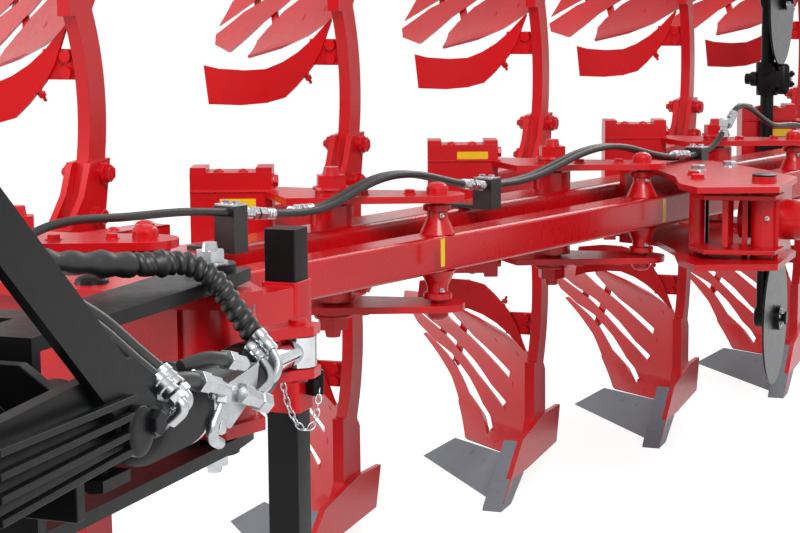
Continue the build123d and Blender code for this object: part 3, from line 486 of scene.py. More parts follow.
def helixTree():
    # a flat strip wound round a line: the line's points step round it, and a profile follows
    tree, given = newTree("wound_guard", {"Radius": "NodeSocketFloat", "Pitch": "NodeSocketFloat",
                                          "Strip": "NodeSocketFloat", "Material": "NodeSocketMaterial"})
    line = addNode(tree, "GeometryNodeMeshToCurve", links={"Mesh": given[0]})
    step = addNode(tree, "ShaderNodeMath", {"operation": "DIVIDE", 1: 18.0}, {0: given["Pitch"]})
    spread = addNode(tree, "GeometryNodeResampleCurve", {"mode": "LENGTH"},
                     {"Curve": line.outputs[0], "Length": step.outputs[0]})
    reach = addNode(tree, "GeometryNodeSplineParameter")
    turns = addNode(tree, "ShaderNodeMath", {"operation": "DIVIDE"}, {0: reach.outputs["Length"],
                                                                    1: given["Pitch"]})
    angle = addNode(tree, "ShaderNodeMath", {"operation": "MULTIPLY", 1: 2 * math.pi}, {0: turns.outputs[0]})
    normal = addNode(tree, "GeometryNodeInputNormal")
    tangent = addNode(tree, "GeometryNodeInputTangent")
    spun = addNode(tree, "ShaderNodeVectorRotate", {"rotation_type": "AXIS_ANGLE"},
                   {"Vector": normal.outputs[0], "Axis": tangent.outputs[0], "Angle": angle.outputs[0]})
    out = addNode(tree, "ShaderNodeVectorMath", {"operation": "SCALE"}, {0: spun.outputs[0],
                                                                       "Scale": given["Radius"]})
    moved = addNode(tree, "GeometryNodeSetPosition", links={"Geometry": spread.outputs[0],
                                                            "Offset": out.outputs[0]})
    strip = addNode(tree, "GeometryNodeCurvePrimitiveCircle", {"Resolution": 8}, {"Radius": given["Strip"]})
    wound = addNode(tree, "GeometryNodeCurveToMesh", {"Fill Caps": True},
                    {"Curve": moved.outputs[0], "Profile Curve": strip.outputs[0]})
    endTree(tree, wound.outputs[0], given["Material"])
    return tree


def followLine(name, line, tree, values, body):
    mesh = bpy.data.meshes.new(name)
    mesh.from_pydata([tuple(p) for p in line], [(i, i + 1) for i in range(len(line) - 1)], [])
    piece = bpy.data.objects.new(name, mesh)
    scene.collection.objects.link(piece)
    runTree(piece, tree, values)
    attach(piece, body)
    return piece


linksAlong = chainTree()
woundGuard = helixTree()
print("node trees built")


# carriers: nuts on the pins, the furrow box's ends and bolts, weld beads, clamp bolts of the legs
carrierTrim = {"mainNut": 0.035, "barNut": 0.023, "boxBolt": 0.012, "plateTop": 0.127, "boxTop": 0.168,
               "boxSpan": (-0.316, -0.134), "boxDepth": (0.076, 0.170), "bead": 0.005, "legBolt": 0.0185}
legCurve = {"radius": 0.505, "y": 0.169, "z": 0.310, "left": -0.265, "right": -0.205}
for row in rows:
    body = bodyOf(f"carrier_{row}")
    work = bmesh.new()
    beads = bmesh.new()
    for side in (-1, 1):
        top = side * carrierTrim["plateTop"]
        addFastener(body, "red_paint", "nut", onCarrier(row, 0, 0, top + side * 0.013), up * side,
                    carrierTrim["mainNut"])
        addFastener(body, "red_paint", "dome", onCarrier(row, 0.23, 0, top + side * 0.013), up * side,
                    carrierTrim["barNut"])
        addFastener(body, "red_paint", "hex", onCarrier(row, 0.068, -0.012, top), up * side, 0.013)
        addFastener(body, "red_paint", "hex", onCarrier(row, 0.17, 0, top), up * side, 0.012)
        boxTop = side * carrierTrim["boxTop"]
        near, far = carrierTrim["boxSpan"]
        front, rear = carrierTrim["boxDepth"]
        for x in (near, far - 0.036):  # raised ends of the box
            addSlab(work, [onCarrier(row, x, front + 0.004, boxTop - side * 0.002),
                           onCarrier(row, x + 0.036, front + 0.004, boxTop - side * 0.002),
                           onCarrier(row, x + 0.036, rear - 0.004, boxTop - side * 0.002),
                           onCarrier(row, x, rear - 0.004, boxTop - side * 0.002)], up * side * 0.013)
        for x in (near + 0.062, near + 0.116):
            addFastener(body, "red_paint", "dome", onCarrier(row, x, front + 0.03, boxTop), up * side,
                        carrierTrim["boxBolt"])
        addFastener(body, "red_paint", "hex", onCarrier(row, far, front + 0.05, side * 0.145), leverWay,
                    0.014)
        for y in (front, rear):
            addBead(beads, onCarrier(row, near, y, top), onCarrier(row, far, y, top), carrierTrim["bead"])
        addBead(beads, onCarrier(row, far, front, top), onCarrier(row, far, rear, top), carrierTrim["bead"])
        pivot = onBeam((row - 3) * spacing, 0, 0)
        for height in (0.090, 0.180):
            reach = (legCurve["radius"] ** 2 - (legCurve["z"] - height) ** 2) ** 0.5 + legCurve["y"]
            place = pivot + Vector((0, reach, side * height))
            addFastener(body, "red_paint", "nut", place + Vector((legCurve["left"] - 0.011, 0, 0)),
                        (-1, 0, 0),
                        carrierTrim["legBolt"])
            addFastener(body, "red_paint", "hex", place + Vector((legCurve["right"] + 0.011, 0, 0)),
                        (1, 0, 0),
                        carrierTrim["legBolt"])
        for x in (legCurve["left"], legCurve["right"]):
            addBead(beads, pivot + Vector((x, 0.11, side * 0.075)), pivot + Vector((x, 0.52, side * 0.075)),
                    carrierTrim["bead"])
    keepPiece(f"box_ends_{row}", work, redEnamel, body, 0.0015)
    keepPiece(f"carrier_welds_{row}", beads, redEnamel, body)
    collars = bmesh.new()
    nipples = bmesh.new()
    for side in (-1, 1):
        addTurned(collars, onCarrier(row, 0.23, 0, side * 0.089), up * side,
                  [(0, 0.0225), (0.002, 0.031), (0.014, 0.031), (0.0155, 0.0225)], 32)
        neck = onCarrier(row, 0.23, 0, side * 0.082) - leverSide * 0.0235 + leverWay * 0.008
        addTurned(nipples, neck, -leverSide + leverWay * 0.3,
                  [(-0.004, 0.005), (0.004, 0.005), (0.0042, 0.0032), (0.009, 0.0032), (0.011, 0.0042),
                   (0.014, 0.003), (0.015, 0.0)], 12)
    keepPiece(f"neck_collars_{row}", collars, beamEnamel, bodyOf("control_bar"))
    keepPiece(f"grease_nipples_{row}", nipples, zincPlate, bodyOf("control_bar"))
print("carriers trimmed")


# plough bottoms: flush bolts, stays behind the slats, tails of the trash board's bolts
sharePlace = (-0.2576, 0.3075)  # share point from its carrier's pivot
boardBolts = [(-0.128, 0.385), (-0.060, 0.350), (-0.022, 0.334), (-0.074, 0.251), (-0.020, 0.268),
              (-0.097, 0.179), (-0.136, 0.113), (-0.129, 0.088), (-0.030, 0.118)]
slatBolts = [(-0.32, 0.385), (-0.405, 0.425), (-0.345, 0.305), (-0.44, 0.335), (-0.39, 0.238), (-0.30, 0.19)]
shareBolts = [(-0.172, 0.304), (-0.106, 0.231), (0.0235, -0.008), (0.0235, -0.038)]
hornBolts = [(-0.183, 0.556), (-0.078, 0.508), (-0.030, 0.452)]
stayLines = [((-0.312, 0.398), (-0.345, 0.305), (-0.393, 0.232)), ((-0.405, 0.432), (-0.425, 0.385),
    (-0.448, 0.325))]
shapes = {}
for name in ("mouldboards_3", "shares_3"):
    mesh = nodes[name].data
    shapes[name] = BVHTree.FromPolygons([v.co[:] for v in mesh.vertices],
                                        [p.vertices[:] for p in mesh.polygons])
middleShare = at(*sharePlace, 0)


def probe(name, start, way):
    hit = shapes[name].ray_cast(middleShare + Vector(start), Vector(way).normalized())
    return (hit[0] - middleShare, hit[1] * (-1 if hit[1].dot(Vector(way)) > 0 else 1)) if hit[0] else None


boardWay = Vector((-0.35, 1, -0.12))
spots = []  # slot, kind, place from the share point, facing, size
for x, z in boardBolts:
    hit = probe("mouldboards_3", (x + 0.35, -1 + 0.4, z + 0.12), boardWay)
    if hit:
        spots.append(("board_red", "flush", hit[0], hit[1], 0.0095))
for x, z in slatBolts:
    hit = probe("mouldboards_3", (x, -0.4, z), (0, 1, 0))
    if hit:
        spots.append(("board_red", "flush", hit[0], hit[1], 0.009))
        spots.append(("board_red", "tail", hit[0] - hit[1] * 0.020, -hit[1], 0.009))
for x, y in shareBolts:
    hit = probe("shares_3", (x, y, 0.5), (0, 0, -1))
    if hit:
        spots.append(("share_grey", "flush", hit[0], hit[1], 0.010))
for x, z in hornBolts:
    hit = probe("mouldboards_3", (x, -0.4, z), (0, 1, 0))
    if hit:
        spots.append(("board_red", "flush", hit[0], hit[1], 0.010))
        outward = Vector((0.35, 0, 1)).normalized()
        spots.append(("board_red", "tail", hit[0] - hit[1] * 0.008 + outward * 0.012,
                      outward - hit[1] * 0.6, 0.0095))
stays = []
for line in stayLines:
    hits = [probe("mouldboards_3", (x, -0.4, z), (0, 1, 0)) for x, z in line]
    stays.append([hit[0] + Vector((0.004, 0.0165, 0)) for hit in hits if hit])
for row in rows:
    body = bodyOf(f"mouldboards_{row}")
    place = at(*sharePlace, 0) + along * (row - 3) * spacing
    work = bmesh.new()
    for flipped in (False, True):
        def swap(vector, isPlace):
            if not flipped:
                return vector
            return Vector((vector.x, vector.y, (2 * axisHeight if isPlace else 0) - vector.z))
        for slot, kind, spot, facing, size in spots:
            addFastener(body, slot, kind, swap(spot + place, True), swap(facing, False), size)
        for line in stays:
            for start, end in zip(line, line[1:]):
                addBar(work, swap(start + place, True), swap(end + place, True), 0.03, 0.008,
                       swap(Vector((0.55, 0.8, 0.1)), False))
    keepPiece(f"slat_stays_{row}", work, boardEnamel, body, 0.001)
print("bottoms trimmed, spots:", len(spots), "stays:", [len(s) for s in stays])


# swing cylinder: barrel sleeve, ribbed boot with its band
swingTrim = {"x": 0.156, "boot": (-2.472, -2.345), "bootRadius": 0.061, "rib": 0.0055,
             "sleeve": (-2.35, -2.10),
             "sleeveRadius": 0.042}
body = bodyOf("swing_barrel")
work = bmesh.new()
start, end = swingTrim["boot"]
ribs = 13
profile = [(0, 0.036), (0.002, 0.05)]
for i in range(ribs):
    step = 0.004 + (end - start - 0.016) * i / ribs
    pitch = (end - start - 0.016) / ribs
    profile += [(step, swingTrim["bootRadius"] - swingTrim["rib"]),
                (step + pitch * 0.5, swingTrim["bootRadius"])]
profile += [(end - start - 0.012, swingTrim["bootRadius"] - 0.002),
            (end - start, swingTrim["bootRadius"] - 0.002),
            (end - start, 0.036)]
addTurned(work, at(swingTrim["x"], start, axisHeight), (0, 1, 0), profile, 40, hollow=True)
keepPiece("cylinder_boot", work, bootRubber, body)
work = bmesh.new()
addTurned(work, at(swingTrim["x"], end - 0.010, axisHeight), (0, 1, 0),
          [(0, 0.058), (0, 0.0608), (0.008, 0.0608), (0.008, 0.058)], 40, hollow=True)
addSlab(work, [at(0.214, end - 0.012, 0.883), at(0.214, end + 0.001, 0.883), at(0.214, end + 0.001, 0.862),
               at(0.214, end - 0.012, 0.862)], Vector((0.010, 0, 0)))
addTurned(work, at(0.219, end - 0.005, 0.890), (0, 0, -1), [(0, 0.0045), (0.036, 0.0045)], 8)
keepPiece("boot_band", work, zincPlate, body, 0.0006)
work = bmesh.new()
low, high = swingTrim["sleeve"]
radius = swingTrim["sleeveRadius"]
addTurned(work, at(swingTrim["x"], low, axisHeight), (0, 1, 0),
          [(0, 0.037), (0, radius), (high - low - 0.03, radius), (high - low - 0.03, radius + 0.004),
           (high - low, radius + 0.004), (high - low + 0.004, radius), (high - low + 0.004, 0.022),
           (high - low - 0.026, 0.022), (high - low - 0.026, 0.037)], 44, hollow=True)
keepPiece("cylinder_sleeve", work, blackEnamel, body, 0.001)

# hose guard, crimped ends, pipes and the valve block beside the cylinder
guardPath = [(0.090, -2.165, 1.036), (0.122, -2.150, 1.013), (0.154, -2.132, 0.958), (0.180, -2.115, 0.912)]
sleevePath = [(-0.046, -2.430, 1.072), (-0.008, -2.340, 1.058), (0.034, -2.245, 1.044),
              (0.066, -2.195, 1.041),
              (0.094, -2.163, 1.034)]
followLine("hose_guard", [at(*p) for p in smoothLine([(0.034, -2.245, 1.044),
    (0.066, -2.195, 1.041)] + guardPath, 8)],
           woundGuard, {"Radius": 0.0105, "Pitch": 0.0165, "Strip": 0.0082, "Material": hoseRubber},
           bodyOf("hose_guarded"))
work = bmesh.new()
line = [at(*p) for p in smoothLine(sleevePath[:4], 8)]
addTube(work, line, [0.0175 + 0.0025 * math.sin(i * 1.7) + 0.0015 * math.sin(i * 0.6) for i in range(len(line))], 18)
keepPiece("hose_wrap", work, hoseRubber, bodyOf("hose_guarded"))

crimpProfile = [(0.0, 0.0085), (0.001, 0.0112), (0.010, 0.0116), (0.012, 0.0104), (0.020, 0.0116),
                (0.022, 0.0104),
                (0.030, 0.0114), (0.031, 0.0085)]


def addCrimp(work, start, end, size=1.0):
    # crimped sleeve from the hose to where its pipe begins
    start, end = Vector(start), Vector(end)
    length = (end - start).length
    addTurned(work, start, end - start, [(a / 0.031 * length, r * size) for a, r in crimpProfile], 20)


def addUnion(work, start, end, size=1.0):
    # back nut and body of a screwed union, from the hose side
    start, end = Vector(start), Vector(end)
    length = (end - start).length
    addTurned(work, start, end - start, [(0, 0.010 * size), (0, 0.0145 * size),
                                         (length * 0.36, 0.0145 * size),
                                         (length * 0.36, 0.010 * size)], 6)
    addTurned(work, start + (end - start) * 0.34, end - start,
              [(0, 0.0095 * size), (length * 0.1, 0.0095 * size)], 18)
    addTurned(work, start + (end - start) * 0.42, end - start,
              [(0, 0.012 * size), (length * 0.45, 0.012 * size), (length * 0.5, 0.009 * size),
               (length * 0.6, 0.009 * size)], 6)


def addPipe(work, points, radius=0.0068):
    addTube(work, [at(*p) for p in smoothLine(points, 6)], radius, 14)


body = bodyOf("swing_barrel")
steel = bmesh.new()
rubber = bmesh.new()
addCrimp(steel, at(0.180, -2.128, 0.934), at(0.208, -2.135, 0.909))
addPipe(steel, [(0.208, -2.135, 0.909), (0.220, -2.142, 0.893), (0.222, -2.155, 0.878),
                (0.219, -2.168, 0.872)])
addCrimp(steel, at(0.172, -2.140, 0.915), at(0.199, -2.150, 0.896))
addPipe(steel, [(0.199, -2.150, 0.896), (0.214, -2.160, 0.882), (0.220, -2.176, 0.869),
                (0.217, -2.205, 0.860)])
addTurned(steel, at(0.213, -2.257, 0.872), (0.02, 0.06, -0.03), [(0, 0.010), (0.002, 0.016), (0.020, 0.016),
          (0.022, 0.013), (0.040, 0.013), (0.042, 0.016), (0.060, 0.016), (0.062, 0.010)], 6)
addSlab(steel, [at(0.196, -2.19, 0.902), at(0.196, -2.30, 0.890), at(0.196, -2.325, 0.838),
                at(0.196, -2.285, 0.826),
                at(0.196, -2.20, 0.862)], Vector((0.016, 0, 0)))
addUnion(steel, at(0.224, -2.322, 0.932), at(0.224, -2.262, 0.914))
addTube(rubber, [at(*p) for p in smoothLine([(0.196, -2.400, 0.935), (0.212, -2.362, 0.940),
                                             (0.222, -2.335, 0.936), (0.224, -2.318, 0.931)])], 0.0095)
addUnion(steel, at(0.226, -2.412, 0.920), at(0.226, -2.345, 0.899), 1.1)
addTube(rubber, [at(*p) for p in smoothLine([(0.205, -2.505, 0.925), (0.216, -2.470, 0.930),
                                             (0.224, -2.430, 0.926), (0.226, -2.408, 0.919)])], 0.0105)
addTurned(steel, at(0.226, -2.352, 0.900), (0.0, 0.022, -0.012), [(0, 0.011), (0.022, 0.013), (0.026, 0.0)],
          16)
addTurned(steel, at(0.225, -2.334, 0.892), (0, -0.01, -0.03), [(0, 0.010), (0, 0.0135), (0.018, 0.0135),
                                                              (0.018, 0.008)], 6)
addPipe(steel, [(0.225, -2.338, 0.876), (0.225, -2.352, 0.862), (0.224, -2.366, 0.845),
                (0.223, -2.360, 0.828),
                (0.222, -2.340, 0.818)], 0.0085)
addTurned(steel, at(0.204, -2.315, 0.835), (1, 0, 0), [(0, 0.012), (0.012, 0.012), (0.014, 0.0)], 6)
keepPiece("valve_block_and_unions", steel, zincPlate, body, 0.0007)
keepPiece("short_port_hoses", rubber, hoseRubber, body)

# the second set at the foot of the land-side brace
body = bodyOf("brace_land")
steel = bmesh.new()
rubber = bmesh.new()
for shift in (Vector((0, 0, 0)), Vector((0.004, -0.02, -0.006))):
    low = at(0.219, -2.5, 0.952) + shift
    addCrimp(steel, low, low + Vector((0.017, 0, -0.014)) * 1.5, 1.15)
    knee = low + Vector((0.027, 0, -0.023))
    addTurned(steel, knee, (0.6, 0, -0.55), [(0, 0.010), (0, 0.0125), (0.009, 0.0125), (0.009, 0.009)], 6)
    addPipe(steel, [knee - origin + Vector(v) for v in ((0.005, 0, -0.005), (0.011, 0, -0.012),
        (0.008, 0, -0.021),
                                                        (-0.006, 0, -0.034))], 0.0085)
    addTube(rubber, [at(*p) for p in smoothLine([low - origin + Vector(v) for v in (
        (-0.075, -0.10, 0.105), (-0.05, -0.055, 0.070), (-0.022, -0.018, 0.026), (0.002, 0, -0.002))])], 0.0095)
addSlab(steel, [at(0.196, -2.495, 0.915), at(0.232, -2.495, 0.905), at(0.226, -2.495, 0.878),
                at(0.205, -2.495, 0.858),
                at(0.190, -2.495, 0.866)], Vector((0, 0.018, 0)))
addUnion(steel, at(0.172, -2.508, 0.908), at(0.205, -2.508, 0.902), 1.0)
addTurned(steel, at(0.204, -2.508, 0.905), (0.1, 0, -0.9), [(0, 0.009), (0.006, 0.0125), (0.018, 0.0125),
                                                           (0.018, 0.008)], 6)
addPipe(steel, [(0.205, -2.508, 0.888), (0.199, -2.512, 0.876), (0.194, -2.512, 0.866),
                (0.197, -2.508, 0.856)], 0.008)
addTube(rubber, [at(*p) for p in smoothLine([(0.08, -2.56, 0.90), (0.12, -2.53, 0.906), (0.15, -2.512, 0.910),
                                             (0.176, -2.508, 0.908)])], 0.0095)
keepPiece("brace_unions", steel, zincPlate, body, 0.0006)
keepPiece("brace_hoses", rubber, hoseRubber, body)

# headstock: cast ribs and pin bosses on the land-side plate, bolts on the cross plates
work = bmesh.new()
for i in range(4):
    addBar(work, at(0.2465, -2.93, 0.944 - i * 0.026), at(0.2465, -2.63, 0.944 - i * 0.021), 0.009, 0.012,
           (1, 0, 0))
addTurned(work, at(0.246, -2.62, 0.9), (1, 0, 0), [(0, 0.032), (0.012, 0.032), (0.014, 0.026),
    (0.014, 0.018)], 28)
keepPiece("brace_ribs", work, blackEnamel, body, 0.0015)
for y, height in ((-2.59, 0.905), (-3.066, 1.34)):
    for side, name in ((-1, "brace_furrow"), (1, "brace_land")):
        addFastener(bodyOf(name), "black_paint", "hex", at(0.056 + side * (0.190 + 0.010), y, height),
                    (side, 0, 0), 0.017)
for x in (-0.065, 0.177):
    for z in (0.83, 0.91):
        addFastener(bodyOf("turnover_housing"), "black_paint", "hex", at(x, -2.68, z), (0, 1, 0), 0.014)
        addFastener(bodyOf("turnover_housing"), "black_paint", "hex", at(x, -2.98, z), (0, -1, 0), 0.014)
for angle in range(8):
    a = math.radians(22.5 + 45 * angle)
    addFastener(bodyOf("turnover_frame"), "black_paint", "hex",
                at(0.056 + 0.082 * math.cos(a), -2.622, 0.87 + 0.082 * math.sin(a)), (0, -1, 0), 0.010)
addFastener(bodyOf("turnover_frame"), "zinc", "nut", at(0.056, -2.032, 1.019), (0, 0, 1), 0.024)
addFastener(bodyOf("turnover_frame"), "zinc", "nut", at(0.056, -2.032, 0.721), (0, 0, -1), 0.024)
addFastener(bodyOf("main_beam"), "zinc", "hex", at(-0.017, -1.93, 0.98), (0, 0, 1), 0.009)
addFastener(bodyOf("main_beam"), "black_paint", "dome", at(-0.145, -2.048, 0.98), (0, 0, 1), 0.028)
for side in (-1, 1):
    addFastener(bodyOf("hitch_beam"), "zinc", "dome", at(0.056 + side * 0.553, -3.15, 0.70), (side, 0, 0),
                0.020)

# square tube stub on the front of the beam
stub = {"from": -1.70, "to": -1.43, "side": -0.005, "width": 0.058, "low": 0.060, "high": 0.117,
        "wall": 0.005}
work = bmesh.new()
half = stub["width"] / 2
for side, low, high in ((-half, stub["low"], stub["high"]), (half - stub["wall"], stub["low"], stub["high"])):
    addSlab(work, [onBeam(run, stub["side"] + side, height) for run, height in
                   ((stub["from"], low), (stub["to"], low), (stub["to"], high), (stub["from"], high))],
            across * stub["wall"])
for height in (stub["low"], stub["high"] - stub["wall"]):
    addSlab(work, [onBeam(run, stub["side"] + side, height) for run, side in
                   ((stub["from"], -half), (stub["to"], -half), (stub["to"], half), (stub["from"], half))],
            up * stub["wall"])
keepPiece("tool_stub", work, beamEnamel, bodyOf("main_beam"), 0.0012)
# painted shade: a thin black disc on the stub's side wall stands in for the dark inside of the hole
work = bmesh.new()
addTurned(work, onBeam(-1.555, stub["side"] + half - 0.002, 0.088), across, [(0, 0.0095), (0.0025, 0.0095)],
          20)
keepPiece("stub_hole_painted_shade", work, blackEnamel, bodyOf("main_beam"))
addFastener(bodyOf("main_beam"), "beam_red", "dome", onBeam(-1.555, stub["side"], stub["high"]), up, 0.012)
addFastener(bodyOf("main_beam"), "beam_red", "dome", onBeam(-1.47, stub["side"], stub["high"]), up, 0.020)
print("front end trimmed")


# stand: pin with its ring, the small chain and its tab, blank plate
stand = {"ring": 0.021, "wire": 0.0018}
body = bodyOf("stand_sleeve")
work = bmesh.new()
ring = at(-0.020, -1.612, 0.783)
addTube(work, [ring + Vector((math.cos(a) * 0.018, -0.004 * math.sin(a), math.sin(a) * stand["ring"]))
               for a in [2 * math.pi * i / 24 for i in range(25)]], stand["wire"], 8)
small = at(-0.020, -1.614, 0.757)
addTube(work, [small + Vector((math.cos(a) * 0.010, -0.003, math.sin(a) * 0.010))
               for a in [2 * math.pi * i / 16 for i in range(17)]], 0.0013, 8)
keepPiece("pin_rings", work, zincPlate, body)
work = bmesh.new()
addTurned(work, at(-0.022, -1.604, 0.785), (0, -1, 0), [(0, 0.0125), (0.010, 0.0125), (0.012, 0.010),
    (0.012, 0.0)], 24)
addSlab(work, [at(0.030, -1.585, 0.745), at(0.040, -1.565, 0.745), at(0.040, -1.565, 0.715),
               at(0.030, -1.585, 0.715)],
        Vector((-0.024, 0.012, 0)))
addSlab(work, [at(0.008, -1.577, 0.785), at(0.042, -1.572, 0.760), at(0.042, -1.572, 0.722),
               at(0.008, -1.577, 0.735)],
        Vector((0, 0.006, 0)))
keepPiece("pin_and_tab", work, blackEnamel, body, 0.0008)
chainPath = [(-0.018, -1.616, 0.748), (-0.006, -1.618, 0.704), (0.012, -1.620, 0.672), (0.026, -1.612, 0.660),
             (0.036, -1.600, 0.672), (0.038, -1.588, 0.700), (0.037, -1.578, 0.722)]
followLine("pin_chain", [at(*p) for p in smoothLine(chainPath, 6)], linksAlong,
           {"Pitch": 0.0125, "Wire": 0.0014, "Material": zincPlate}, body)


# hoses along the beam: screwed joints, clamp tops
def hosePlace(run, side):
    heights = [(-1.9, 142), (-1.86, 156), (-1.66, 160), (-1.5, 154), (-1.35, 138), (-1.2, 122), (-1.055, 123),
               (-0.905, 160), (-0.73, 161), (-0.6, 134), (-0.46, 116), (-0.25, 122), (-0.04, 160), (0.16, 161),
               (0.3, 134), (0.574, 116), (0.69, 150), (0.8, 230), (0.91, 210), (1.04, 164), (1.12, 160), (1.3, 115)]
    line = smoothLine([Vector((a, 0, h / 1000)) for a, h in heights], 8)
    near = min(line, key=lambda p: abs(p.x - run))
    return onBeam(run, side, near.z)


body = bodyOf("main_beam")
steel = bmesh.new()
for first, last, side in ((-1.325, -1.235, 0.120), (-0.575, -0.490, 0.120), (0.420, 0.500, 0.120),
                          (-1.16, -1.09, 0.100)):
    a, b = hosePlace(first, side), hosePlace(last, side)
    middle = a.lerp(b, 0.5)
    addCrimp(steel, a, a.lerp(b, 0.30), 1.05)
    addCrimp(steel, b, b.lerp(a, 0.30), 1.05)
    addTurned(steel, a.lerp(b, 0.28), b - a, [(0, 0.010), (0, 0.0145), ((b - a).length * 0.13, 0.0145),
                                             ((b - a).length * 0.13, 0.009), ((b - a).length * 0.2,
                                                 0.009)], 6)
    addTurned(steel, middle, b - a, [(0, 0.010), (0, 0.0138), ((b - a).length * 0.18, 0.0138),
                                     ((b - a).length * 0.18, 0.009)], 6)
loop = hosePlace(0.735, 0.120)
addTurned(steel, hosePlace(0.715, 0.120) - up * 0.018, up, [(0, 0.010), (0, 0.015), (0.018, 0.015),
    (0.018, 0.011),
          (0.03, 0.011), (0.03, 0.014), (0.05, 0.014), (0.052, 0.009)], 6)
addCrimp(steel, loop, hosePlace(0.775, 0.120), 1.15)
keepPiece("hose_joints", steel, zincPlate, body, 0.0006)
steel = bmesh.new()
for run, height in ((-1.35, 0.138), (-0.46, 0.116), (0.574, 0.116)):
    top = height + 0.014
    addSlab(steel, [onBeam(run + a, b, top) for a, b in ((-0.019, 0.085), (0.019, 0.085), (0.019, 0.135),
        (-0.019, 0.135))],
            up * 0.004)
    for side in (0.097, 0.123):
        addFastener(body, "zinc", "hex", onBeam(run, side, top + 0.004), up, 0.0075)
keepPiece("clamp_tops", steel, zincPlate, body, 0.0006)
print("hoses fitted")


# wheel bracket: inner fork plates, web, pin plates, bolts and nipple
body = bodyOf("wheel_bracket")
work = bmesh.new()
for side in (-1, 1):
    addSlab(work, [at(x, y, 0.87 + side * 0.060) for x, y in ((0.372, -0.075), (0.425, -0.150),
        (0.590, -0.115),
                                                              (0.596, -0.02), (0.40, 0.02))], up * side * 0.012)
    addFastener(body, "red_paint", "hex", at(0.385, -0.04, 0.87 + side * 0.100), up * side, 0.016)
addSlab(work, [at(0.462, -0.115, 0.812), at(0.476, -0.112, 0.812), at(0.476, -0.112, 0.928),
               at(0.462, -0.115, 0.928)],
        Vector((0.002, 0.06, 0)))
keepPiece("bracket_fork_plates", work, redEnamel, body, 0.002)
work = bmesh.new()
addTurned(work, at(0.392, 0.0, 0.786), up, [(0, 0.014), (0.168, 0.014)], 20)
addTurned(work, at(0.552, -0.06, 0.984), up, [(0, 0.0295), (0.004, 0.0295), (0.006, 0.024)], 28)
keepPiece("bracket_dark_pins", work, blackEnamel, body)
work = bmesh.new()
addTurned(work, at(0.565, -0.0868, 0.884), (0.4, -1, 0), [(-0.002, 0.006), (0.004, 0.006), (0.004, 0.004),
    (0.010, 0.004),
                                                          (0.013, 0.005), (0.016, 0.003), (0.017, 0.0)], 12)
keepPiece("bracket_nipple", work, zincPlate, body)
for place, size in (((0.335, 0.193, 0.970), 0.018), ((0.391, 0.320, 0.970), 0.018)):
    addFastener(body, "zinc", "hex", at(*place), up, size)
addFastener(body, "red_paint", "hex", at(0.352, 0.06, 0.970), up, 0.014)
for y in (-0.04, 0.10):
    for z in (0.81, 0.93):
        addFastener(body, "red_paint", "hex", at(0.574, y, z), (1, 0, 0), 0.012)

# disc coulters: cast clamps on the stem, caps with their plates
body = bodyOf("coulter_stem")
work = bmesh.new()
for side in (-1, 1):
    level = 0.87 + side * 0.268
    addTurned(work, at(0.241, 1.688, level - 0.055), up, [(0, 0.024), (0, 0.036), (0.045, 0.036),
        (0.05, 0.030),
              (0.062, 0.030), (0.067, 0.038), (0.11, 0.038), (0.11, 0.024)], 20)
    addSlab(work, [at(0.215, 1.638, level - 0.04), at(0.275, 1.638, level - 0.04),
                   at(0.275, 1.638, level + 0.04),
                   at(0.215, 1.638, level + 0.04)], Vector((0, 0.05, 0)))
    addSlab(work, [at(0.262, 1.642, level - 0.028), at(0.322, 1.648, level - 0.028),
                   at(0.322, 1.648, level + 0.022),
                   at(0.262, 1.642, level + 0.03)], Vector((0, 0.04, 0)))
    addTurned(work, at(0.215, 1.650, level), (-1, 0, 0), [(0, 0.024), (0.02, 0.024), (0.024, 0.018),
        (0.04, 0.018)], 16)
    addTurned(work, at(0.296, 1.665, level - 0.05), up, [(0, 0.017), (0.012, 0.022), (0.09, 0.022),
        (0.1, 0.016)], 16)
    hub = 0.87 + side * 0.535
    addTurned(work, at(0.262, 1.688, hub), (-1, 0, 0), [(-0.006, 0.030), (0.0, 0.036), (0.042, 0.036),
        (0.046, 0.028)], 20)
    for z in (-0.024, 0.024):
        addFastener(body, "black_paint", "nut", at(0.245, 1.638, level + z), (0, -1, 0), 0.011)
        addFastener(body, "black_paint", "nut", at(0.321, 1.668, level + z * 0.7), (1, 0, 0), 0.010)
    for angle in range(5):
        a = math.radians(90 + 72 * angle)
        addFastener(bodyOf("coulter_disc_lower" if side < 0 else "coulter_disc_upper"), "zinc", "hex",
                    at(0.304, 1.688 + 0.030 * math.cos(a), hub + 0.030 * math.sin(a)), (1, 0, 0), 0.006)
keepPiece("coulter_clamps", work, blackEnamel, body, 0.003)
work = bmesh.new()
addSlab(work, [at(0.226, 1.6375, 0.590), at(0.262, 1.6375, 0.590), at(0.262, 1.6375, 0.612),
               at(0.226, 1.6375, 0.612)],
        Vector((0, -0.002, 0)))
keepPiece("clamp_plate", work, zincPlate, body, 0.0006)

# land wheel: lugged tyre on its casing, rim bolts
wheel = {"x": 0.900, "y": 0.300, "z": 0.380, "crown": 0.371, "lugs": 26, "bolts": 6, "boltCircle": 0.085}


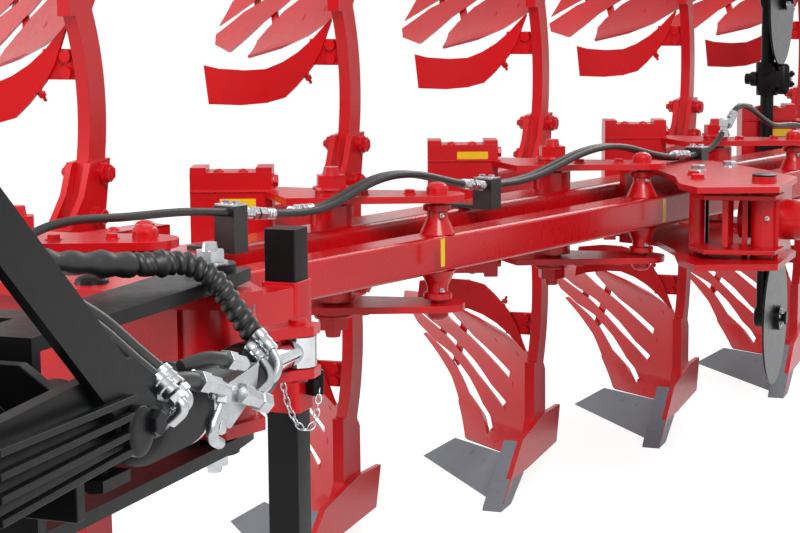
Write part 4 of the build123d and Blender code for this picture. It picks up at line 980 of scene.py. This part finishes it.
def treadTree():
    # slanted lugs set round a hub line
    tree, given = newTree("tyre_lugs", {"Count": "NodeSocketInt", "Radius": "NodeSocketFloat",
                                        "Lug": "NodeSocketVector", "Aside": "NodeSocketFloat",
                                        "Slant": "NodeSocketFloat", "Hub": "NodeSocketVector",
                                        "Material": "NodeSocketMaterial"})
    ring = addNode(tree, "GeometryNodeMeshCircle", links={"Vertices": given["Count"],
        "Radius": given["Radius"]})
    place = addNode(tree, "GeometryNodeInputPosition")
    lug = addNode(tree, "GeometryNodeMeshCube", links={"Size": given["Lug"]})
    slant = addNode(tree, "ShaderNodeCombineXYZ", {}, {2: given["Slant"]})
    skewed = addNode(tree, "GeometryNodeTransform", links={"Geometry": lug.outputs[0],
        "Rotation": slant.outputs[0]})
    aside = addNode(tree, "ShaderNodeCombineXYZ", {}, {0: given["Aside"]})
    moved = addNode(tree, "GeometryNodeTransform", links={"Geometry": skewed.outputs[0],
                                                          "Translation": aside.outputs[0]})
    lying = addNode(tree, "FunctionNodeAxisAngleToRotation", {"Axis": (0, 1, 0), "Angle": math.pi / 2})
    face = addNode(tree, "FunctionNodeAlignRotationToVector", {"axis": "Z", "pivot_axis": "AUTO"},
                   {"Rotation": lying.outputs[0], "Vector": place.outputs[0]})
    lugRing = addNode(tree, "GeometryNodeInstanceOnPoints", links={"Points": ring.outputs[0],
                                                                "Instance": moved.outputs[0],
                                                                "Rotation": face.outputs[0]})
    upright = addNode(tree, "GeometryNodeTransform", {"Rotation": (0, math.pi / 2, 0)},
                      {"Geometry": lugRing.outputs[0], "Translation": given["Hub"]})
    endTree(tree, upright.outputs[0], given["Material"])
    return tree


body = bodyOf("wheel_tyre")
lugs = treadTree()
for side in (-1, 1):
    mesh = bpy.data.meshes.new("lug_row")
    piece = bpy.data.objects.new("tyre_lug_row_" + ("land" if side > 0 else "furrow"), mesh)
    scene.collection.objects.link(piece)
    runTree(piece, lugs, {"Count": wheel["lugs"], "Radius": wheel["crown"] + 0.001,
                          "Lug": (0.088, 0.026, 0.014),
                          "Aside": side * 0.046, "Slant": side * 0.5, "Hub": tuple(at(wheel["x"],
                              wheel["y"], wheel["z"])),
                          "Material": tyreRubber})
    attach(piece, body)
for angle in range(wheel["bolts"]):
    a = math.radians(30 + 60 * angle)
    addFastener(bodyOf("wheel_rim"), "zinc", "nut",
                at(0.908, wheel["y"] + wheel["boltCircle"] * math.cos(a),
                   wheel["z"] + wheel["boltCircle"] * math.sin(a)),
                (1, 0, 0), 0.012)

# blank yellow plates
plates = [  # body's node, corners' middle, half width along, half height, thickness outwards
    ("control_bar", onBeam(-0.843, 0.2555, 0.012), along * 0.007, up * 0.030),
    ("control_bar", onBeam(0.128, 0.2555, 0.008), along * 0.007, up * 0.030),
    ("stand_sleeve", at(-0.027, -1.6072, 0.865), Vector((0.026, 0, 0)), up * 0.010),
    ("carrier_5", onCarrier(5, -0.20, 0.0755, 0.085), leverWay * 0.05, up * 0.012),
    ("carrier_3", onCarrier(3, -0.20, 0.0755, 0.140), leverWay * 0.04, up * 0.010),
    ("carrier_2", onCarrier(2, -0.21, 0.0755, 0.100), leverWay * 0.04, up * 0.010),
]
for i, (name, middle, wide, tall) in enumerate(plates):
    work = bmesh.new()
    outward = wide.cross(tall).normalized()
    addSlab(work, [middle - wide - tall, middle + wide - tall, middle + wide + tall, middle - wide + tall],
            outward * 0.0008)
    keepPiece(f"blank_plate_{i + 1}", work, yellowVinyl, bodyOf(name))
print("plates set")


makeFasteners()


# camera, floor and light
view = {"place": (1.3669, -4.6022, 1.43), "yaw": 21.2, "pitch": -8.3, "roll": -0.4, "lens": 84.6}
camera = bpy.data.objects.new("camera", bpy.data.cameras.new("camera"))
scene.collection.objects.link(camera)
camera.data.lens = view["lens"]
camera.data.sensor_width = 36
camera.data.clip_end = 100
camera.location = at(*view["place"])
camera.rotation_euler = (Euler((math.radians(90 + view["pitch"]), 0, math.radians(view["yaw"]))).to_matrix()
                         @ Euler((0, 0, math.radians(view["roll"]))).to_matrix()).to_euler()
scene.camera = camera


def cameraOnly(tree):
    # 1 for what the camera, a reflection or glass sees
    seen = addNode(tree, "ShaderNodeLightPath")
    first = addNode(tree, "ShaderNodeMath", {"operation": "MAXIMUM"},
                    {0: seen.outputs["Is Camera Ray"], 1: seen.outputs["Is Glossy Ray"]})
    second = addNode(tree, "ShaderNodeMath", {"operation": "MAXIMUM"},
                     {0: first.outputs[0], 1: seen.outputs["Is Transmission Ray"]})
    return second.outputs[0]


room = {"size": 60.0, "shown": 0.80, "shadow": 0.42, "bounce": "#b9b9b9", "glow": 0.5}
h = room["size"] / 2
floorMesh = bpy.data.meshes.new("floor")
floorMesh.from_pydata([(-h, -h, 0), (h, -h, 0), (h, h, 0), (-h, h, 0)], [], [(0, 1, 2, 3)])
floor = bpy.data.objects.new("floor", floorMesh)
scene.collection.objects.link(floor)
floorMaterial = bpy.data.materials.new("white_studio_floor")
floorMaterial.use_nodes = True
tree = floorMaterial.node_tree
tree.nodes.clear()
shine = addNode(tree, "ShaderNodeEmission", {"Color": hexColour("#ffffff"), "Strength": room["shown"]})
shade = addNode(tree, "ShaderNodeBsdfDiffuse", {"Color": (room["shadow"],) * 3 + (1.0,)})
white = addNode(tree, "ShaderNodeAddShader", links={0: shine.outputs[0], 1: shade.outputs[0]})
plain = addNode(tree, "ShaderNodeBsdfDiffuse", {"Color": hexColour(room["bounce"])})
floorMix = addNode(tree, "ShaderNodeMixShader", links={0: cameraOnly(tree), 1: plain.outputs[0],
                                                       2: white.outputs[0]})
addNode(tree, "ShaderNodeOutputMaterial", links={"Surface": floorMix.outputs[0]})
floorMesh.materials.append(floorMaterial)

world = bpy.data.worlds.new("studio")
scene.world = world
world.use_nodes = True
tree = world.node_tree
tree.nodes.clear()
bright = addNode(tree, "ShaderNodeBackground", {"Color": hexColour("#ffffff"), "Strength": 1.0})
glow = addNode(tree, "ShaderNodeBackground", {"Color": hexColour("#ffffff"), "Strength": room["glow"]})
skyMix = addNode(tree, "ShaderNodeMixShader", links={0: cameraOnly(tree), 1: glow.outputs[0],
    2: bright.outputs[0]})
addNode(tree, "ShaderNodeOutputWorld", links={"Surface": skyMix.outputs[0]})

lamps = [  # name, place from the middle pivot, size, watts
    ("key", (3.5, -5.5, 5.5), 2.6, 430),
    ("fill", (-6.0, -4.0, 3.5), 4.0, 300),
    ("back", (1.0, 7.0, 5.0), 4.0, 220),
]
for name, place, size, watts in lamps:
    lamp = bpy.data.objects.new(name, bpy.data.lights.new(name, "AREA"))
    lamp.data.size = size
    lamp.data.energy = watts
    lamp.location = at(*place)
    lamp.rotation_euler = (at(0, -1, 0.9) - lamp.location).to_track_quat("-Z", "Y").to_euler()
    scene.collection.objects.link(lamp)
scene.view_settings.view_transform = "Standard"
print("camera and light set")
